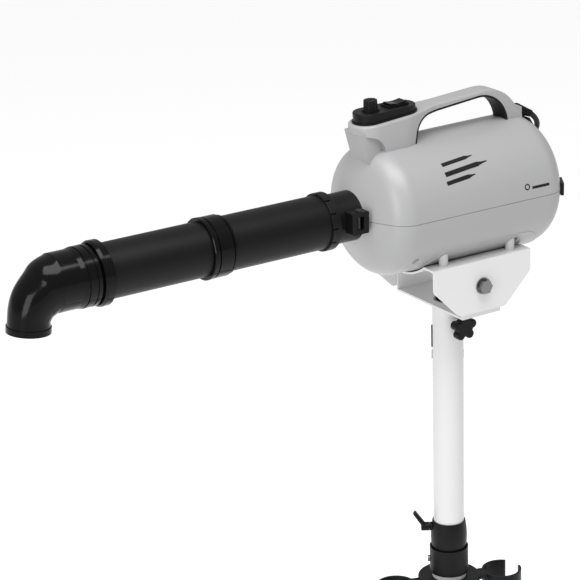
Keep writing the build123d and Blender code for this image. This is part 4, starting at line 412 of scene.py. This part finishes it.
# ---------------------------------------------------------------- black mouldings
# Glass-filled nylon with a fine spark-eroded grain: hub, clamp, holder and knobs of the
# stand, and the control box, cover, collar and inner pieces of the blower.
BLACK = (0.0045, 0.0045, 0.005)
black_moulding = skinned_finish("black_moulding", BLACK, HOUSE_DUST, 1900, 0.012, 0.38, 0.14, 0.00022)
finish_nodes(
    black_moulding,
    "base_hub", "clamp_sleeve", "clamp_collar", "tool_holder", "star_knob", "clamp_lever",
    "lead_clip", "control_box", "speed_dial", "rear_cover", "outlet_collar", "impeller",
    "motor_mount", "ioniser", "mains_plug",
)

# ---------------------------------------------------------------- steel fixings
# Turned and cold-headed steel, zinc plated: pivot bolts, screws, spigot, caster forks.
CASTERS = range(1, 6)
STEEL = (0.22, 0.22, 0.225)
steel = skinned_finish("turned_steel", STEEL, HOUSE_DUST, 1500, 0.04, 0.28, 0.2, 0.0001)
steel.node_tree.nodes["Principled BSDF"].inputs["Metallic"].default_value = 1.0
finish_nodes(
    steel,
    "pivot_bolts", "case_screws", "saddle_screws", "collar_bolt", "pole_bolt",
    "leg_bolts", "head_spigot", "motor",
    *[f"caster_fork_{k}" for k in CASTERS],
)

# ---------------------------------------------------------------- blackened fixings
# Chemically blackened steel: the screw of the outlet collar and the slotted strip on the
# upper pole.
DARK_STEEL = (0.05, 0.05, 0.052)
dark_steel = skinned_finish("blackened_steel", DARK_STEEL, HOUSE_DUST, 1500, 0.03, 0.34, 0.2, 0.0001)
dark_steel.node_tree.nodes["Principled BSDF"].inputs["Metallic"].default_value = 1.0
finish_nodes(dark_steel, "collar_screw", "hook_strip")

# ---------------------------------------------------------------- caster wheels
# Solid grey-black rubber wheels on the axles of the forks, dusty from the floor.
TYRE = (0.03, 0.03, 0.031)
tyre = skinned_finish("wheel_rubber", TYRE, HOUSE_DUST, 800, 0.2, 0.55, 0.15, 0.0003)
finish_nodes(tyre, *[f"caster_wheel_{k}" for k in CASTERS])

# ---------------------------------------------------------------- blower case
# Two shells of light grey ABS with a satin skin, screwed together from below, on four posts over the
# saddle. The posts' grey, paler than the case, is painted shade: the tone of the white saddle in the
# shade under the case.
CASE_GREY = (0.32, 0.32, 0.325)
POST_PAINTED_SHADE_GREY = (0.46, 0.46, 0.46)
case_plastic = skinned_finish("case_plastic", CASE_GREY, HOUSE_DUST, 2400, 0.03, 0.36, 0.08, 0.00012)
post_plastic_painted_shade = skinned_finish("post_plastic_painted_shade", POST_PAINTED_SHADE_GREY, HOUSE_DUST, 2400, 0.03, 0.38, 0.08, 0.00012)
finish_nodes(case_plastic, "upper_shell", "lower_shell")
finish_nodes(post_plastic_painted_shade, "saddle_posts")

# ---------------------------------------------------------------- grip liner
# Soft black rubber set into the underside of the handle, where the fingers close.
GRIP_BLACK = (0.006, 0.006, 0.006)
grip_rubber = skinned_finish("grip_rubber", GRIP_BLACK, HOUSE_DUST, 1200, 0.02, 0.5, 0.1, 0.0004)
finish_nodes(grip_rubber, "grip_liner")

# ---------------------------------------------------------------- heater and filter
# Pale mica sheet with its wire coils, and a pad of dark open-cell foam behind the inlet.
MICA = (0.55, 0.47, 0.30)
FOAM = (0.03, 0.03, 0.032)
mica = skinned_finish("mica", MICA, HOUSE_DUST, 900, 0.1, 0.4, 0.2, 0.0004)
foam = skinned_finish("filter_foam", FOAM, HOUSE_DUST, 700, 0.2, 0.8, 0.1, 0.001)
finish_nodes(mica, "heater")
finish_nodes(foam, "inlet_filter")

# ---------------------------------------------------------------- printed marks
# Dark pad-printed graphics on the near side of the case: three swept air lines, and a
# small ring with a bar behind them. The ink film lies on the curved plastic.
INK_BLACK = (0.012, 0.012, 0.013)
print_ink = skinned_finish("print_ink", INK_BLACK, HOUSE_DUST, 3000, 0.004, 0.42, 0.08, 0.00002)
CASE_AXIS_Z = 1.150
PRINT_R = 0.0965
INK = 0.00012
AIR_LINES = [
    (-0.031, 47.0, 0.054, 0.0060), (-0.022, 38.5, 0.074, 0.0070), (-0.036, 30.0, 0.050, 0.0060),
]
AIR_LINE_SLANT = 0.10
AIR_LINE_TAPER = 0.66
TAPER_STARTS = (0.30, 0.36, 0.42, 0.47)
SMALL_RING_R = 0.0046
SMALL_RING_HOLE = 0.62


def lay_print(piece, along, up_angle, slant):
    """Lays a flat film on the case's side, at a length along it and an angle up from level."""
    out = Vector((0, -cos(radians(up_angle)), sin(radians(up_angle))))
    run = (Vector((1, 0, 0)) + slant * out.cross(Vector((1, 0, 0)))).normalized()
    rise = out.cross(run)
    turn_to = Matrix((run, rise, out)).transposed().to_4x4()
    place = Vector((along, 0, CASE_AXIS_Z)) + PRINT_R * out
    piece.matrix_world = Matrix.Translation(place) @ turn_to
    bpy.ops.object.transform_apply(location=True, rotation=True, scale=True)
    wrap = piece.modifiers.new("on_case", "SHRINKWRAP")
    wrap.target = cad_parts["upper_shell"]
    wrap.wrap_method = "NEAREST_SURFACEPOINT"
    wrap.wrap_mode = "ABOVE_SURFACE"
    wrap.offset = INK
    bpy.ops.object.modifier_apply(modifier="on_case")
    bpy.ops.object.shade_smooth()
    piece.data.materials.append(print_ink)
    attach(piece, "blower")


def print_bar(name, along, up_angle, length, width, slant, taper):
    """Printed bar whose far end narrows step by step by the taper."""
    bpy.ops.object.select_all(action="DESELECT")
    bpy.ops.mesh.primitive_grid_add(x_subdivisions=32, y_subdivisions=4, size=1)
    bar = bpy.context.object
    bar.name = name
    bpy.ops.object.mode_set(mode="EDIT")
    bpy.ops.mesh.select_all(action="SELECT")
    bpy.ops.transform.resize(value=(length, width, 1))
    for reach in TAPER_STARTS:
        bpy.ops.mesh.select_all(action="DESELECT")
        bpy.ops.object.mode_set(mode="OBJECT")
        for vertex in bar.data.vertices:
            vertex.select = vertex.co.x > reach * length
        bpy.ops.object.mode_set(mode="EDIT")
        bpy.ops.transform.resize(value=(1, taper, 1), center_override=(0, 0, 0))
    bpy.ops.object.mode_set(mode="OBJECT")
    lay_print(bar, along, up_angle, slant)


for number, (along, up_angle, length, width) in enumerate(AIR_LINES, 1):
    print_bar(f"air_line_{number}", along, up_angle, length, width, AIR_LINE_SLANT, AIR_LINE_TAPER)
print_bar("small_bar", 0.093, 9.5, 0.030, 0.0040, 0.0, 1.0)
bpy.ops.object.select_all(action="DESELECT")
bpy.ops.mesh.primitive_circle_add(vertices=40, radius=SMALL_RING_R)
small_ring = bpy.context.object
small_ring.name = "small_ring"
bpy.ops.object.mode_set(mode="EDIT")
bpy.ops.mesh.select_all(action="SELECT")
bpy.ops.mesh.extrude_region_move()
bpy.ops.transform.resize(value=(SMALL_RING_HOLE, SMALL_RING_HOLE, 1))
bpy.ops.mesh.select_all(action="SELECT")
bpy.ops.mesh.normals_make_consistent(inside=False)
bpy.ops.object.mode_set(mode="OBJECT")
if small_ring.data.polygons[0].normal.z < 0:
    small_ring.data.flip_normals()
lay_print(small_ring, 0.0695, 11.0, 0.0)

# ---------------------------------------------------------------- outlet tubes
# Extruded black plastic duct with a satin surface, pushed over the collar and into the
# coupling.
TUBE_BLACK = (0.004, 0.004, 0.0045)
tube_plastic = skinned_finish("tube_plastic", TUBE_BLACK, HOUSE_DUST, 1600, 0.010, 0.40, 0.12, 0.0003)
finish_nodes(tube_plastic, "rear_tube", "front_tube")

# ---------------------------------------------------------------- elbow, couplings, rocker
# Polished black mouldings: the elbow that turns on the front tube, the rings that join
# the tubes, and the power rocker.
GLOSS_BLACK = (0.002, 0.002, 0.0024)
gloss_plastic = skinned_finish("gloss_plastic", GLOSS_BLACK, HOUSE_DUST, 500, 0.006, 0.13, 0.1, 0.00008)
finish_nodes(gloss_plastic, "nozzle_elbow", "socket_ring", "tube_coupling", "power_rocker")

# ---------------------------------------------------------------- floor
# Seamless pale studio floor, far wider than the view.
bpy.ops.object.select_all(action="DESELECT")
bpy.ops.mesh.primitive_plane_add(size=60, location=(0, 0, 0))
floor = bpy.context.object
floor.name = "studio_floor"
floor_paper = bpy.data.materials.new("floor_paper")
floor_paper.use_nodes = True
paper_shader = floor_paper.node_tree.nodes["Principled BSDF"]
paper_shader.inputs["Base Color"].default_value = (0.96, 0.96, 0.96, 1)
paper_shader.inputs["Roughness"].default_value = 0.7
paper_shader.inputs["Specular IOR Level"].default_value = 0.1
paper_shader.inputs["Emission Color"].default_value = (1, 1, 1, 1)
paper_shader.inputs["Emission Strength"].default_value = 0.5
floor.data.materials.append(floor_paper)

# ---------------------------------------------------------------- light
# A bright room with one large soft box over the blower and a weaker one by the camera.
world = bpy.data.worlds.new("studio")
bpy.context.scene.world = world
world.use_nodes = True
world.node_tree.nodes["Background"].inputs["Color"].default_value = (1, 1, 1, 1)
world.node_tree.nodes["Background"].inputs["Strength"].default_value = 0.45
bpy.context.scene.view_settings.view_transform = "Standard"


def soft_box(name, place, target, width, depth, power):
    """Rectangular soft box that shines from a place to a target."""
    light = bpy.data.lights.new(name, "AREA")
    light.shape = "RECTANGLE"
    light.size = width
    light.size_y = depth
    light.energy = power
    lamp = bpy.data.objects.new(name, light)
    bpy.context.collection.objects.link(lamp)
    lamp.location = place
    lamp.rotation_euler = (Vector(target) - Vector(place)).to_track_quat("-Z", "Y").to_euler()
    return lamp


BLOWER = (-0.15, 0, 1.15)
soft_box("top_box", (-0.6, -0.6, 3.0), BLOWER, 2.2, 1.2, 52)
soft_box("side_box", (-2.6, -1.2, 1.6), BLOWER, 1.0, 1.6, 26)
